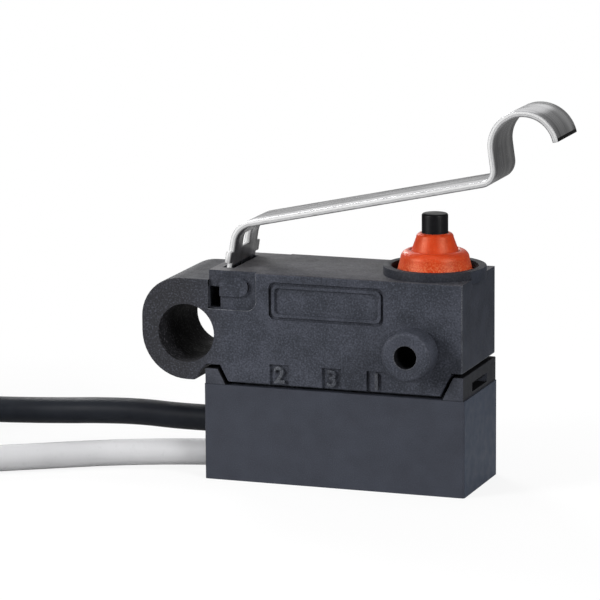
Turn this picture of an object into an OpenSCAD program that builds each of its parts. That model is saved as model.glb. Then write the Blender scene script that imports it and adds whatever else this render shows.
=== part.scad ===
// Sealed subminiature snap-action switch with a hinged sheet lever and two lead wires.
// X runs along the body towards the plunger end, Y from the front to the back, Z up.
// The origin is the middle of the underside of the terminal cover. All sizes are in millimetres.

/* [Body] */
// Length of the terminal cover along X
body_len = 13.3; // [12.8:0.1:16]
// Depth of the body along Y
body_depth = 5.3; // [5.1:0.1:7]
// Height of the terminal cover
cover_h = 4.75; // [4.6:0.05:6]
// Wall of the terminal cover
cover_wall = 0.45; // [0.35:0.05:0.55]
// Floor of the terminal cover
cover_floor = 0.3; // [0.2:0.05:0.3]
// Edge radius of the cover's upright edges
cover_edge_r = 0.12; // [0.05:0.01:0.3]
// Height of the case's top face above the cover's rim
case_h = 5.65; // [5.5:0.05:7]
// How far the case's plunger end stands back from the cover's end
case_inset = 0.1; // [0:0.02:0.2]
// Front and back wall of the case
case_wall = 0.6; // [0.5:0.05:0.7]
// End wall of the case at the plunger
end_wall = 1.05; // [0.95:0.05:1.15]
// End wall of the case at the ear, which holds the lever's slot
ear_end_wall = 1.9; // [1.85:0.05:2.1]
// Roof of the case
roof_t = 0.85; // [0.7:0.05:1]
// Gap that shows between the case and the pieces below it
seam = 0.17; // [0.1:0.01:0.22]

/* [Base and its tabs] */
// Height of the plunger-end tab above the cover's rim
tab_right_h = 1.15; // [1:0.05:1.3]
// Height of the ear-end tab above the cover's rim
tab_left_h = 0.8; // [0.7:0.05:0.9]
// Flat top of the plunger-end tab
tab_right_w = 0.5; // [0.4:0.05:0.55]
// Flat top of the ear-end tab
tab_left_w = 0.66; // [0.6:0.02:0.7]
// Run of the plunger-end tab's slope along X
tab_right_run = 0.57; // [0.4:0.01:0.7]
// Run of the ear-end tab's slope along X
tab_left_run = 0.42; // [0.3:0.01:0.5]
// How far the tabs stand back from the cover's ends
tab_inset = 0.06; // [0:0.01:0.12]
// Width of the snap windows in the tabs
snap_w = 2.4; // [1.6:0.1:2.6]
// Height of the snap windows
snap_h = 0.45; // [0.3:0.05:0.45]
// Height of the windows' sill above the cover's rim
snap_sill = 0.2; // [0.15:0.01:0.25]
// Thickness of the case's snap tongues
tongue_t = 0.44; // [0.35:0.01:0.45]
// Margin of a tongue beside its nib
tongue_edge = 0.2; // [0.1:0.02:0.25]
// How far a nib stays back from its tab's outer face
nib_back = 0.12; // [0.08:0.01:0.15]
// Height of the base's floor inside the case above the cover's rim
base_up = 1.2; // [1.15:0.05:1.2]
// Depth that the base reaches down into the cover
base_plug = 1; // [0.7:0.05:1.2]

/* [Mounting ear] */
// Distance of the ear's hole outside the cover's end
ear_out = 0.91; // [0.85:0.01:1.2]
// Drop of the ear's hole below the case's top
ear_down = 3.18; // [3.1:0.01:3.3]
// Diameter of the mounting hole
ear_hole_d = 2.9; // [2.4:0.1:2.9]
// Wall around the mounting hole
ear_wall = 0.87; // [0.7:0.01:0.95]
// Drop of the ear's top below the case's top
ear_drop = 0.47; // [0.3:0.01:0.6]
// Radius of the ear's upper corner
ear_corner_r = 2; // [1.2:0.1:2.2]
// Flat stretch of the ear's underside past the hole's axis
ear_flat = 0.48; // [0.3:0.02:0.5]
// Rounding of the ear's lower corner beside the cover
ear_round = 0.3; // [0.1:0.05:0.35]
// Distance of the step between ear and case top from the cover's end
ear_step_in = 0.25; // [0.2:0.01:0.3]

/* [Locating post] */
// Diameter of the locating post
post_d = 2.45; // [1.8:0.05:2.8]
// Height of the locating post off the front face
post_h = 1.35; // [0.8:0.05:1.5]
// Rounding of the post's free edge
post_round = 0.2; // [0.1:0.05:0.3]
// Distance of the post's axis from the cover's plunger end
post_in = 2.54; // [2.4:0.01:3]
// Height of the post's axis above the cover's rim
post_up = 2.26; // [2:0.01:2.4]
// Diameter of the post's core hole
post_core_d = 1.12; // [0.8:0.02:1.2]
// Depth of the post's core hole
post_core_depth = 1.4; // [1:0.05:1.5]

/* [Front face marks] */
// Length of the sunk panel
panel_len = 5.85; // [5:0.05:6]
// Height of the sunk panel
panel_h = 1.85; // [1.5:0.05:1.9]
// Corner radius of the sunk panel
panel_r = 0.3; // [0.2:0.05:0.5]
// Depth of the sunk panel and of the terminal marks' fields
panel_depth = 0.12; // [0.05:0.01:0.2]
// Width of the raised rim round the sunk panel
panel_rim = 0.14; // [0.1:0.01:0.2]
// Distance of the panel's middle from the middle of the cover
panel_off = -0.34; // [-0.5:0.01:-0.2]
// Drop of the panel's top edge below the case's top
panel_drop = 0.4; // [0.35:0.01:0.5]
// Width of a terminal mark's field
mark_w = 1; // [0.8:0.05:1.1]
// Height of a terminal mark's field
mark_h = 1.02; // [0.8:0.02:1.1]

/* [Hinge pocket] */
// Length of the hinge pocket along X
pocket_len = 2.47; // [2.4:0.01:2.6]
// Height of the hinge pocket below the case's top
pocket_h = 1.9; // [1.85:0.01:1.95]
// Depth of the hinge pocket
pocket_depth = 0.2; // [0.1:0.01:0.25]
// Corner radius of the hinge pocket
pocket_r = 0.5; // [0.3:0.05:0.6]
// Radius of the pocket's round land
land_r = 0.47; // [0.35:0.01:0.55]
// Height of the land off the pocket's floor
land_h = 0.14; // [0.05:0.01:0.18]
// Distance of the land's round end from the cover's end
land_in = 1.83; // [1.7:0.01:2]
// Drop of the land's middle below the case's top
land_drop = 0.78; // [0.7:0.01:0.85]
// Margin between the core window and the pocket's and chamber's edges
core_edge = 0.04; // [0.03:0.01:0.06]
// Width of the core window into the lever's slot
core_w = 0.6; // [0.4:0.01:0.62]
// Height of the core window
core_h = 1.06; // [0.9:0.01:1.1]

/* [Plunger and boot] */
// Distance of the plunger's axis from the cover's plunger end
plunger_in = 2.32; // [2.28:0.01:2.5]
// Diameter of the plunger
plunger_d = 1.28; // [1:0.02:1.4]
// Height of the plunger's top above the case's top
plunger_up = 2.94; // [2.7:0.02:2.98]
// Full travel of the plunger
plunger_travel = 0.93; // [0.5:0.01:0.95]
// Diameter of the plunger's stop flange
flange_d = 2.1; // [1.9:0.05:2.14]
// Thickness of the plunger's stop flange
flange_t = 0.5; // [0.4:0.05:0.6]
// Diameter of the plunger's lower stem
stem_d = 1; // [0.8:0.05:1.1]
// Gap between the stop flange and the roof at rest
stop_gap = 0.04; // [0.02:0.01:0.08]
// Gap between the pressed stem and the base's floor
stem_gap = 0.25; // [0.2:0.01:0.3]
// Rounding of the plunger's top edge
plunger_round = 0.1; // [0.08:0.01:0.2]
// Reach of the snap spring's hook outside the stop flange
hook_out = 0.35; // [0.3:0.01:0.4]
// Half width of the snap spring's hook
hook_half = 0.2; // [0.15:0.01:0.25]
// Diameter of the hole in the snap spring's hook
hook_hole_d = 0.2; // [0.15:0.01:0.25]
// Radial clearance of the plunger in the roof and in the boot's lip
slide_clear = 0.06; // [0.04:0.01:0.09]
// Outer diameter of the collar round the boot
collar_d = 5; // [4.7:0.05:5.1]
// Wall of the collar
collar_wall = 0.4; // [0.3:0.02:0.45]
// Height of the collar above the case's top
collar_h = 0.42; // [0.3:0.02:0.6]
// Depth of the collar's overhang below the case's top
collar_skirt = 0.2; // [0.1:0.02:0.3]
// Depth of the boot's seat below the case's top
seat_drop = 0.15; // [0.1:0.01:0.2]
// Height of the boot's top lip above the case's top
boot_up = 2; // [1.9:0.02:2.1]
// Wall of the boot
boot_wall = 0.25; // [0.2:0.01:0.3]
// Thickness of the boot's flange in its seat
boot_foot = 0.2; // [0.15:0.01:0.25]
// Radius of the boot's skirt above the flange
skirt_r = 1.8; // [1.7:0.02:1.85]
// Radius of the flare between flange and skirt
skirt_flare = 0.2; // [0.1:0.01:0.22]
// Distance of the shoulder's crest from the boot's axis
crest_r = 1.26; // [1.22:0.01:1.3]
// Height of the shoulder's crest above the case's top
crest_up = 1.165; // [1.14:0.005:1.2]
// Rounding of the shoulder between skirt and crest
crest_curl = 0.41; // [0.36:0.01:0.44]
// Turn of that rounding past the skirt in degrees
crest_turn = 92; // [85:1:100]
// Radius of the groove between shoulder and cone
waist_r = 1.165; // [1.15:0.005:1.18]
// Height of that groove above the case's top
waist_up = 1.07; // [1.04:0.01:1.1]
// Radius of the boot's lip
lip_r = 0.91; // [0.88:0.01:0.95]
// Rounding of the lip's upper edge
lip_round = 0.13; // [0.08:0.01:0.15]
// Length of the lip's grip on the plunger
lip_grip = 0.3; // [0.25:0.01:0.35]

/* [Lever] */
// Thickness of the lever's sheet
sheet_t = 0.3; // [0.25:0.01:0.35]
// Width of the lever
lever_w = 3.2; // [2.6:0.1:3.3]
// Rise of the lever's arm at rest in degrees
arm_rise = 12.1; // [11.9:0.1:13]
// Lean of the lever's tail from upright in degrees
tail_lean = 9; // [7:0.5:10]
// Distance of the hinge axis from the cover's ear end
hinge_in = 0.92; // [0.9:0.01:0.95]
// Drop of the hinge axis below the case's top
hinge_drop = 0.42; // [0.38:0.01:0.46]
// Height of the bend between tail and arm above the hinge axis
tail_len = 2.45; // [2.4:0.05:2.6]
// Reach of the tail below the hinge axis
foot_len = 1.2; // [1.1:0.02:1.24]
// Width of the tail's trapped foot
foot_w = 4.2; // [4:0.05:4.25]
// Height of the tail's trapped foot
foot_h = 0.62; // [0.5:0.02:0.7]
// Room under and over the tail's foot in its chamber
foot_gap = 0.24; // [0.15:0.01:0.25]
// Room beside the tail's foot for its swing
foot_swing = 0.58; // [0.5:0.01:0.6]
// Width over the tail's stop shoulders
shoulder_w = 4; // [3.6:0.1:4.2]
// Height of the stop shoulders
shoulder_h = 0.55; // [0.4:0.05:0.6]
// Gap between the stop shoulders and the case's top
shoulder_gap = 0.26; // [0.2:0.02:0.3]
// Width of the relief slot in the tail
relief_w = 1; // [0.6:0.1:1.2]
// Height of the relief slot above the stop shoulders
relief_up = 0.07; // [0.05:0.01:0.1]
// Length of the relief slot in the tail
relief_len = 0.75; // [0.5:0.05:0.8]
// Middle radius of the bend between tail and arm
tail_bend_r = 1.1; // [0.9:0.02:1.2]
// Middle radius of the bend between arm and riser
riser_bend_r = 0.7; // [0.5:0.05:0.9]
// Reach of the riser past the plunger's axis
riser_reach = 3.49; // [3.2:0.01:4.5]
// Lean of the riser back towards the hinge in degrees
riser_lean = 8; // [4:0.5:12]
// Height of the rolled end's middle above the arm's end
roll_up = 1.73; // [1.5:0.01:2.2]
// Middle radius of the rolled end
roll_r = 1.62; // [1.3:0.01:1.8]
// Angle at which the rolled end stops, above level
roll_stop = 12; // [0:1:30]

/* [Contacts and terminals] */
// Distance between neighbouring terminals
terminal_pitch = 2.54; // [2.4:0.02:2.6]
// Distance of the middle terminal from the middle of the cover
terminal_off = -0.15; // [-0.3:0.01:0]
// Width of a terminal leg
leg_w = 1.1; // [0.8:0.05:1.2]
// Thickness of the terminals' sheet
leg_t = 0.4; // [0.3:0.02:0.45]
// Thickness of the terminals' feet on the base
foot_t = 0.25; // [0.2:0.01:0.3]
// Diameter of the contacts
contact_d = 1.1; // [0.9:0.05:1.3]
// Thickness of the moving contact
contact_t = 0.7; // [0.6:0.02:0.8]
// Distance that the moving contact travels
contact_gap = 0.48; // [0.3:0.01:0.5]
// Gap that is left at a closed contact
contact_clear = 0.03; // [0.02:0.01:0.05]
// Height of the normally closed contact
nc_pip = 0.22; // [0.15:0.01:0.25]
// Margin of the contact arms round their contacts
edge_gap = 0.1; // [0.06:0.01:0.15]
// Gap between the moving arm's free end and the terminal post behind it
arm_end_gap = 0.35; // [0.3:0.01:0.4]
// Distance of that post from the case's end wall
nc_post_in = 0.26; // [0.2:0.01:0.3]
// Depth of that terminal's sideways step under the base's floor
jog_drop = 0.75; // [0.7:0.01:0.8]
// Gap between a terminal's leg and the lead in front of it
leg_gap = 0.05; // [0.04:0.01:0.08]
// Height of the longest leg's end above the cover's floor
leg_lift = 0.25; // [0.2:0.01:0.3]
// Distance of the moving arm's knife edge from the common terminal's middle
knife_off = 0.2; // [0.15:0.01:0.25]
// Depth of the notch that holds the knife edge
notch_in = 0.22; // [0.2:0.01:0.25]
// Half height of that notch at its mouth
notch_half = 0.18; // [0.16:0.01:0.2]
// Height of the fork above the moving arm
fork_up = 0.3; // [0.25:0.01:0.35]
// Distance of the snap spring's seat on the moving arm from the contact
hook_reach = 1.9; // [1.7:0.05:2]
// Height of the moving arm above the base's floor
arm_up = 1.75; // [1.65:0.02:1.8]
// Thickness of the moving arm
blade_t = 0.15; // [0.1:0.01:0.2]
// Width of the moving arm
blade_w = 2.2; // [2:0.05:2.4]
// Width of the window in the moving arm
blade_window_w = 1; // [0.9:0.05:1.2]

/* [Springs] */
// Mean radius of the return spring
return_r = 0.8; // [0.75:0.01:0.85]
// Wire radius of the return spring
return_wire = 0.11; // [0.08:0.01:0.13]
// Turns of the return spring
return_turns = 5; // [4:1:6]
// Gap at each end of the return spring
spring_gap = 0.02; // [0.01:0.01:0.03]
// Mean radius of the snap spring
snap_r = 0.28; // [0.24:0.01:0.3]
// Wire radius of the snap spring
snap_wire = 0.06; // [0.04:0.01:0.07]
// Turns of the snap spring
snap_turns = 14; // [10:1:16]

/* [Leads] */
// Outer diameter of a lead
lead_d = 1.3; // [1.1:0.05:1.35]
// Diameter of a lead's conductor
core_d = 0.6; // [0.4:0.05:0.7]
// Diameter of the solder round a conductor
solder_d = 1.3; // [1.2:0.05:1.35]
// Bare conductor before the middle of its terminal
bare_len = 1.6; // [1.2:0.1:1.8]
// Height of the lower lead where it leaves the cover
lead_low = 1; // [0.98:0.01:1.05]
// Height between the two leads where they leave the cover
lead_step = 1.7; // [1.5:0.05:1.75]
// Distance of the leads in front of the middle of the cover
lead_front = 1.2; // [1.15:0.01:1.25]
// Length of a stripped end
strip_len = 4; // [2:0.5:6]
// Thickness of the coil ties
tie_t = 0.2; // [0.15:0.05:0.25]
// Width of a coil tie round the coil in degrees
tie_turn = 12; // [8:1:16]

/* [Hidden] */
$fn = 64;

// Overlap that keeps cuts and joins clean
eps = 0.05;
// Clearance of a moulded plug or snap in its seat
plug_clear = 0.03;
// Clearance of the lever in its throat and chamber, and what the throat's mouth adds to it
hinge_clear = 0.1;
mouth_clear = 0.06;
// Sides of a lead's tube and of a spring's wire
lead_sides = 8;
wire_sides = 6;
// Points in one turn of a spring
turn_points = 10;
// Steps of a small rounding
round_steps = 4;

// Main planes of the body
end_x = body_len / 2;
front_y = body_depth / 2;
case_top = cover_h + case_h;
case_low = cover_h + seam;
case_right = end_x - case_inset;
base_top = cover_h + base_up;

// Room inside the case
room_right = case_right - end_wall;
room_left = -end_x + ear_end_wall;
room_half = front_y - case_wall;
room_top = case_top - roof_t;

// Tabs of the base
tab_right_out = end_x - tab_inset;
tab_right_in = tab_right_out - tab_right_w;
tab_right_top = cover_h + tab_right_h;
tab_left_out = -end_x + tab_inset;
tab_left_in = tab_left_out + tab_left_w;
tab_left_top = cover_h + tab_left_h;

// Mounting ear and locating post
ear_x = -end_x - ear_out;
ear_z = case_top - ear_down;
ear_r = ear_hole_d / 2 + ear_wall;
ear_left = ear_x - ear_r;
ear_top = case_top - ear_drop;
ear_low = ear_z - ear_r;
ear_step_x = -end_x + ear_step_in;
post_x = end_x - post_in;
post_z = cover_h + post_up;

// Hinge pocket, lever slot and hinge axis
pocket_x = ear_step_x;
pocket_z = case_top - pocket_h;
land_x = -end_x + land_in;
land_z = case_top - land_drop;
hinge_x = -end_x + hinge_in;
hinge_z = case_top - hinge_drop;
chamber_half = foot_w / 2 + hinge_clear;
throat_half = lever_w / 2 + hinge_clear;
chamber_left = hinge_x - sheet_t / 2 - foot_swing;
chamber_right = hinge_x + sheet_t / 2 + hinge_clear;
chamber_low = hinge_z - foot_len - foot_gap;
chamber_top = hinge_z - foot_len + foot_h + foot_gap;

// Plunger and boot
plunger_x = end_x - plunger_in;
plunger_top = case_top + plunger_up;
plunger_r = plunger_d / 2;
seat_z = case_top - seat_drop;
collar_in_r = collar_d / 2 - collar_wall;
flange_top = room_top - stop_gap;
flange_low = flange_top - flange_t;
stem_low = base_top + plunger_travel + stem_gap;

// Lever in its own plane: X and Z from the hinge axis
tail_heading = 90 - tail_lean;
tail_corner = [tail_len * tan(tail_lean), tail_len];
riser_corner_x = plunger_x + riser_reach - hinge_x;
riser_corner = [riser_corner_x, tail_corner[1] + (riser_corner_x - tail_corner[0]) * tan(arm_rise)];
tail_turn = tail_heading - arm_rise;
tail_tangent = tail_bend_r * tan(tail_turn / 2);
riser_heading = 90 + riser_lean;
riser_turn = riser_heading - arm_rise;
riser_tangent = riser_bend_r * tan(riser_turn / 2);
roll_centre = [
  riser_corner[0] - roll_up * tan(riser_lean) + roll_r / cos(riser_lean),
  riser_corner[1] + roll_up
];
tail_end = norm(tail_corner) - tail_tangent;
lever_span = 2 * body_len;
// Steps of a bend and of the rolled end
bend_steps = 8;
roll_steps = 36;

// How far each terminal's mark stands to the left of its terminal
mark_shift = [0.06, -0.09, 0.17];

// Contacts
terminal_x = [for (i = [-1:1]) terminal_off + i * terminal_pitch];
nc_x = terminal_x[0];
no_x = terminal_x[1];
com_x = terminal_x[2];
mark_x = [nc_x - mark_shift[0], no_x - mark_shift[1], com_x - mark_shift[2]];
leg_front = -lead_front + lead_d / 2 + leg_gap;
leg_back = leg_front + leg_t;
com_leg_low = cover_floor + leg_lift;
short_leg_low = lead_low + lead_step - lead_d / 2 - leg_gap;
arm_z = base_top + arm_up;
knife_x = com_x - knife_off;
nc_post_x = room_left + nc_post_in;
arm_left = nc_post_x + foot_t + arm_end_gap;
contact_x = arm_left + contact_d / 2 + edge_gap;
moving_top = arm_z + contact_t / 2;
moving_low = arm_z - contact_t / 2;
nc_face = moving_top + contact_clear;
no_face = moving_low - contact_gap - contact_clear;
nc_bar_low = nc_face + nc_pip;
nc_jog_z = base_top - jog_drop;
hook_x = plunger_x - flange_d / 2 - hook_out;
hook_z = flange_low + flange_t / 2;
arm_hook_x = contact_x + hook_reach;

// Leads: the route points are hand-chosen, on the surface that the switch stands on
lead_r = lead_d / 2;
lead_high = lead_low + lead_step;
coil_x = -32.6;
coil_y = 4.5;
grey_r = 9;
black_r = 8.6;
coil_turns = 3;
black_extra = 0.25;
tie_places = [60, 200];
grey_floor = tie_t;
black_floor = grey_floor + 2 * lead_d;
grey_route = [
  [-end_x, -lead_front, lead_low], [-8.4, -1.25, 0.9], [-10.3, -1.5, 0.8], [-12.2, -2, 0.72],
  [-14.2, -3, 0.69], [-16.2, -4.2, 0.69], [-18.3, -5.3, 0.68], [-20.6, -6, 0.68], [-23.2, -6.1, 0.68],
  [-26.2, -5.6, 0.7], [-29.4, -4.9, 0.8], [-32.6, -4.5, 0.85]
];
black_route = [
  [-end_x, -lead_front, lead_high], [-8.6, -lead_front, lead_high], [-10.6, -1.2, 2.75], [-12.6, -1.2, 2.68],
  [-14.6, -1.2, 2.54], [-16.6, -1.3, 2.44], [-18.6, -1.6, 2.42], [-20.8, -2.2, 2.55], [-23.2, -3, 2.95],
  [-25.6, -3.65, 3.38], [-28.4, -4, 3.47], [-32.6, -4.1, 3.47]
];
grey_tail_route = [
  [-32.6, -4.5, 2.15], [-34.6, -4.5, 2.1], [-36.6, -4.8, 1.5], [-38.6, -5.2, 0.8], [-40.2, -5.3, 0.68],
  [-41.6, -5.3, 0.68]
];
black_tail_route = [
  [-41.5, 4.5, 4.75], [-41.6, 6.5, 4.6], [-42, 8.5, 3.7], [-42.6, 10.4, 2.2], [-43, 12.2, 1],
  [-43.1, 13.6, 0.68], [-43.1, 14.6, 0.68]
];

// Unit vector along v
function unit(v) = v / norm(v);

// Direction of the path at point i
function along(path, i) = unit(path[min(i + 1, len(path) - 1)] - path[max(i - 1, 0)]);

// Points of an arc in a plane
function arc_points(centre, r, from, to, steps) = [
  for (i = [0:steps])
    let (a = from + (to - from) * i / steps)
      centre + r * [cos(a), sin(a)]
];

// Horizontal shift of a slope that keeps the seam's width square to it
function slope_shift(run, rise) = seam * (norm([run, rise]) - run) / rise;

// Round tube swept along a path, with its ends closed
module tube(path, r, sides, upright = [0, 0, 1]) {
  last = len(path) - 1;
  points = [
    for (i = [0:last])
      let (d = along(path, i), s = unit(cross(upright, d)), u = cross(d, s))
        for (k = [0:sides - 1])
          let (a = (k + 0.5) * 360 / sides)
            path[i] + r * (cos(a) * s + sin(a) * u)
  ];
  skin = [
    for (i = [0:last - 1])
      for (k = [0:sides - 1])
        let (a = i * sides, b = a + sides, m = (k + 1) % sides)
          for (face = [[a + k, b + k, b + m], [a + k, b + m, a + m]])
            face
  ];
  start = [for (k = [0:sides - 1]) k];
  end = [for (k = [0:sides - 1]) last * sides + sides - 1 - k];
  polyhedron(points, concat(skin, [start, end]), convexity = 6);
}

// Extrusion of an XZ outline through the given depth about the middle plane
module through(depth) {
  rotate([90, 0, 0])
    linear_extrude(depth, center = true)
      children();
}

// Block between two corners
module block(low, high) {
  translate(low)
    cube(high - low);
}

// Cylinder along Y at an XZ place, between two Y values
module bar_y(x, z, d, low, high) {
  translate([x, high, z])
    rotate([90, 0, 0])
      cylinder(d = d, h = high - low);
}

// Cylinder along X at a YZ place, between two X values
module bar_x(y, z, d, low, high) {
  translate([low, y, z])
    rotate([0, 90, 0])
      cylinder(d = d, h = high - low);
}

// Rectangle with round corners, drawn from its low corner
module round_rect(size, r) {
  union() {
    translate([r, 0])
      square([size[0] - 2 * r, size[1]]);
    translate([0, r])
      square([size[0], size[1] - 2 * r]);
    for (x = [r, size[0] - r])
      for (y = [r, size[1] - r])
        translate([x, y])
          circle(r);
  }
}

// Outline of the case and its ear before the lower edge is cut
module case_blank() {
  translate([ear_step_x, cover_h])
    square([case_right - ear_step_x, case_h]);
  translate([ear_x, ear_z])
    circle(ear_r);
  translate([ear_left, ear_z])
    square([ear_step_x - ear_left + eps, ear_top - ear_corner_r - ear_z]);
  translate([ear_left + ear_corner_r, ear_z])
    square([ear_step_x - ear_left - ear_corner_r + eps, ear_top - ear_z]);
  translate([ear_left + ear_corner_r, ear_top - ear_corner_r])
    circle(ear_corner_r);
  translate([ear_x, ear_low])
    square([ear_step_x - ear_x + eps, ear_r]);
}

// Space under the case that the base's tabs and the cover take, with the seam
module case_underside() {
  right_x = tab_right_in - slope_shift(tab_right_run, tab_right_h);
  left_x = tab_left_in + slope_shift(tab_left_run, tab_left_h);
  below = cover_h - ear_r;
  notch = [tab_left_out - seam, tab_left_top - seam / 2];
  slope = atan2(notch[1] - ear_low, notch[0] - ear_x - ear_flat);
  round_x = ear_x + ear_flat - ear_round * tan(slope / 2);
  polygon(concat(
    [[round_x, below]],
    arc_points([round_x, ear_low + ear_round], ear_round, -90, slope - 90, round_steps),
    [
      notch,
      [tab_left_out + seam / 2, tab_left_top + seam],
      [left_x, tab_left_top + seam],
      [left_x + tab_left_run, case_low],
      [right_x - tab_right_run, case_low],
      [right_x, tab_right_top + seam],
      [end_x + end_wall, tab_right_top + seam],
      [end_x + end_wall, below]
    ]
  ));
}

// Slot for the lever's tail: a throat at the hinge axis over a wider chamber for the foot
module lever_slot() {
  throat_left = hinge_x - sheet_t / 2 - hinge_clear;
  throat_right = hinge_x + sheet_t / 2 + hinge_clear;
  mouth_right = throat_right + hinge_drop * tan(tail_lean) + mouth_clear;
  through(2 * throat_half)
    polygon([
      [chamber_left, chamber_low],
      [chamber_right, chamber_low],
      [throat_right, hinge_z],
      [mouth_right, case_top + eps],
      [throat_left, case_top + eps],
      [throat_left, hinge_z - hinge_clear]
    ]);
  block([chamber_left, -chamber_half, chamber_low], [chamber_right, chamber_half, chamber_top]);
}

// Pocket on one face of the case, with its raised land, cut towards positive Y
module hinge_pocket() {
  deep = pocket_depth + eps;
  land_back = pocket_depth - land_h;
  core_x = chamber_left + core_edge;
  core_low = pocket_z + core_edge;
  translate([0, -front_y + pocket_depth, 0])
    rotate([90, 0, 0])
      difference() {
        linear_extrude(deep)
          difference() {
            translate([pocket_x, pocket_z])
              square([pocket_len, pocket_h + eps]);
            translate([pocket_x + pocket_len - pocket_r, pocket_z])
              difference() {
                square(pocket_r);
                translate([0, pocket_r])
                  circle(pocket_r);
              }
          }
        linear_extrude(land_h) {
          translate([land_x, land_z])
            circle(land_r);
          translate([core_x + core_w, land_z - land_r])
            square([land_x - core_x - core_w, 2 * land_r]);
        }
      }
  block(
    [core_x, -front_y + land_back, core_low],
    [core_x + core_w, -chamber_half + eps, core_low + core_h]
  );
}

// Snap tongue behind a tab, with its nib in the tab's window; side is 1 at the plunger end
module snap_tongue(side, inner, outer, top) {
  low = case_low + eps;
  half = snap_w / 2 - plug_clear;
  nib_low = cover_h + snap_sill + plug_clear;
  nib_top = cover_h + snap_sill + snap_h - plug_clear;
  mirror([side < 0 ? 1 : 0, 0, 0]) {
    block([inner, -half - tongue_edge, low], [inner + tongue_t, half + tongue_edge, top]);
    through(2 * half)
      polygon([
        [inner + tongue_t - eps, nib_low],
        [inner + tongue_t + eps, nib_low],
        [outer - nib_back, nib_top - nib_back],
        [outer - nib_back, nib_top],
        [inner + tongue_t - eps, nib_top]
      ]);
  }
}

// Locating post with its rounded free edge, along negative Y
module post_body() {
  r = post_d / 2;
  translate([post_x, -front_y + eps, post_z])
    rotate([90, 0, 0])
      rotate_extrude()
        union() {
          square([r, post_h + eps - post_round]);
          square([r - post_round, post_h + eps]);
          translate([r - post_round, post_h + eps - post_round])
            circle(post_round);
        }
}

// Sunk panel with a raised rim, and the fields of the terminal marks, on the front face
module front_marks() {
  x = panel_off - panel_len / 2;
  z = case_top - panel_drop - panel_h;
  translate([0, -front_y + panel_depth, 0])
    rotate([90, 0, 0])
      linear_extrude(panel_depth + eps) {
        difference() {
          translate([x, z])
            round_rect([panel_len, panel_h], panel_r);
          translate([x + panel_rim, z + panel_rim])
            difference() {
              round_rect([panel_len - 2 * panel_rim, panel_h - 2 * panel_rim], panel_r);
              translate([panel_rim, panel_rim])
                round_rect([panel_len - 4 * panel_rim, panel_h - 4 * panel_rim], panel_r - panel_rim / 2);
            }
        }
        for (tx = mark_x)
          translate([tx - mark_w / 2, case_low - eps])
            square([mark_w, mark_h + eps]);
      }
}

module case() {
  color("#3c3f48")
    union() {
      difference() {
        union() {
          through(body_depth)
            difference() {
              case_blank();
              case_underside();
            }
          translate([plunger_x, 0, case_top - collar_skirt])
            cylinder(d = collar_d, h = collar_h + collar_skirt);
          post_body();
        }
        bar_y(ear_x, ear_z, ear_hole_d, -front_y - eps, front_y + eps);
        bar_y(post_x, post_z, post_core_d, -front_y - post_h - eps, -front_y - post_h + post_core_depth);
        block([room_left, -room_half, cover_h - base_plug], [room_right, room_half, room_top]);
        translate([plunger_x, 0, room_top - eps])
          cylinder(r = plunger_r + slide_clear, h = roof_t);
        translate([plunger_x, 0, seat_z])
          cylinder(r = collar_in_r, h = seat_drop + collar_h + eps);
        lever_slot();
        hinge_pocket();
        mirror([0, 1, 0])
          hinge_pocket();
        front_marks();
      }
      snap_tongue(1, room_right, tab_right_out, tab_right_top + seam + eps);
      snap_tongue(-1, -tab_left_in, -tab_left_out, tab_left_top + seam + eps);
    }
}

// Outline of the base's tabs above the cover's rim
module tab_outline() {
  polygon([
    [tab_right_in - tab_right_run, cover_h],
    [tab_right_in, tab_right_top],
    [tab_right_out, tab_right_top],
    [tab_right_out, cover_h]
  ]);
  polygon([
    [tab_left_in + tab_left_run, cover_h],
    [tab_left_in, tab_left_top],
    [tab_left_out, tab_left_top],
    [tab_left_out, cover_h]
  ]);
}

// Relief behind a tab for the case's tongue, and the window for its nib
module tab_relief(side, inner, outer) {
  half = snap_w / 2;
  mirror([side < 0 ? 1 : 0, 0, 0]) {
    block(
      [inner - tab_right_run, -half - tongue_edge, case_low],
      [inner + tongue_t + plug_clear, half + tongue_edge, cover_h + 2 * tab_right_h]
    );
    block(
      [inner, -half, cover_h + snap_sill],
      [outer + eps, half, cover_h + snap_sill + snap_h]
    );
  }
}

module base() {
  plug_x = end_x - cover_wall - plug_clear;
  plug_y = front_y - cover_wall - plug_clear;
  color("#363941")
    difference() {
      union() {
        block([-plug_x, -plug_y, cover_h - base_plug], [plug_x, plug_y, cover_h]);
        difference() {
          through(body_depth)
            tab_outline();
          tab_relief(1, room_right, tab_right_out);
          tab_relief(-1, -tab_left_in, -tab_left_out);
        }
        block(
          [room_left + plug_clear, -room_half + plug_clear, cover_h - eps],
          [room_right - plug_clear, room_half - plug_clear, base_top]
        );
      }
      common_terminal_solid();
      no_terminal_solid();
      nc_terminal_solid();
    }
}

module terminal_cover() {
  r = cover_edge_r;
  color("#40434d")
    difference() {
      translate([-end_x, -front_y, 0])
        linear_extrude(cover_h)
          round_rect([body_len, body_depth], r);
      block(
        [-end_x + cover_wall, -front_y + cover_wall, cover_floor],
        [end_x - cover_wall, front_y - cover_wall, cover_h + eps]
      );
      for (z = [lead_low, lead_high])
        bar_x(-lead_front, z, lead_d, -end_x - eps, -end_x + cover_wall + eps);
    }
}

// Lead stretches and solder joints that the resin sets round
module inner_leads() {
  black_root_solid();
  grey_root_solid();
  solder_blank(no_x, lead_high);
  solder_blank(com_x, lead_low);
  bar_x(-lead_front, lead_high, core_d, no_x - bare_len, no_x + leg_w / 2);
  bar_x(-lead_front, lead_low, core_d, com_x - bare_len, com_x + leg_w / 2);
}

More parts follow.
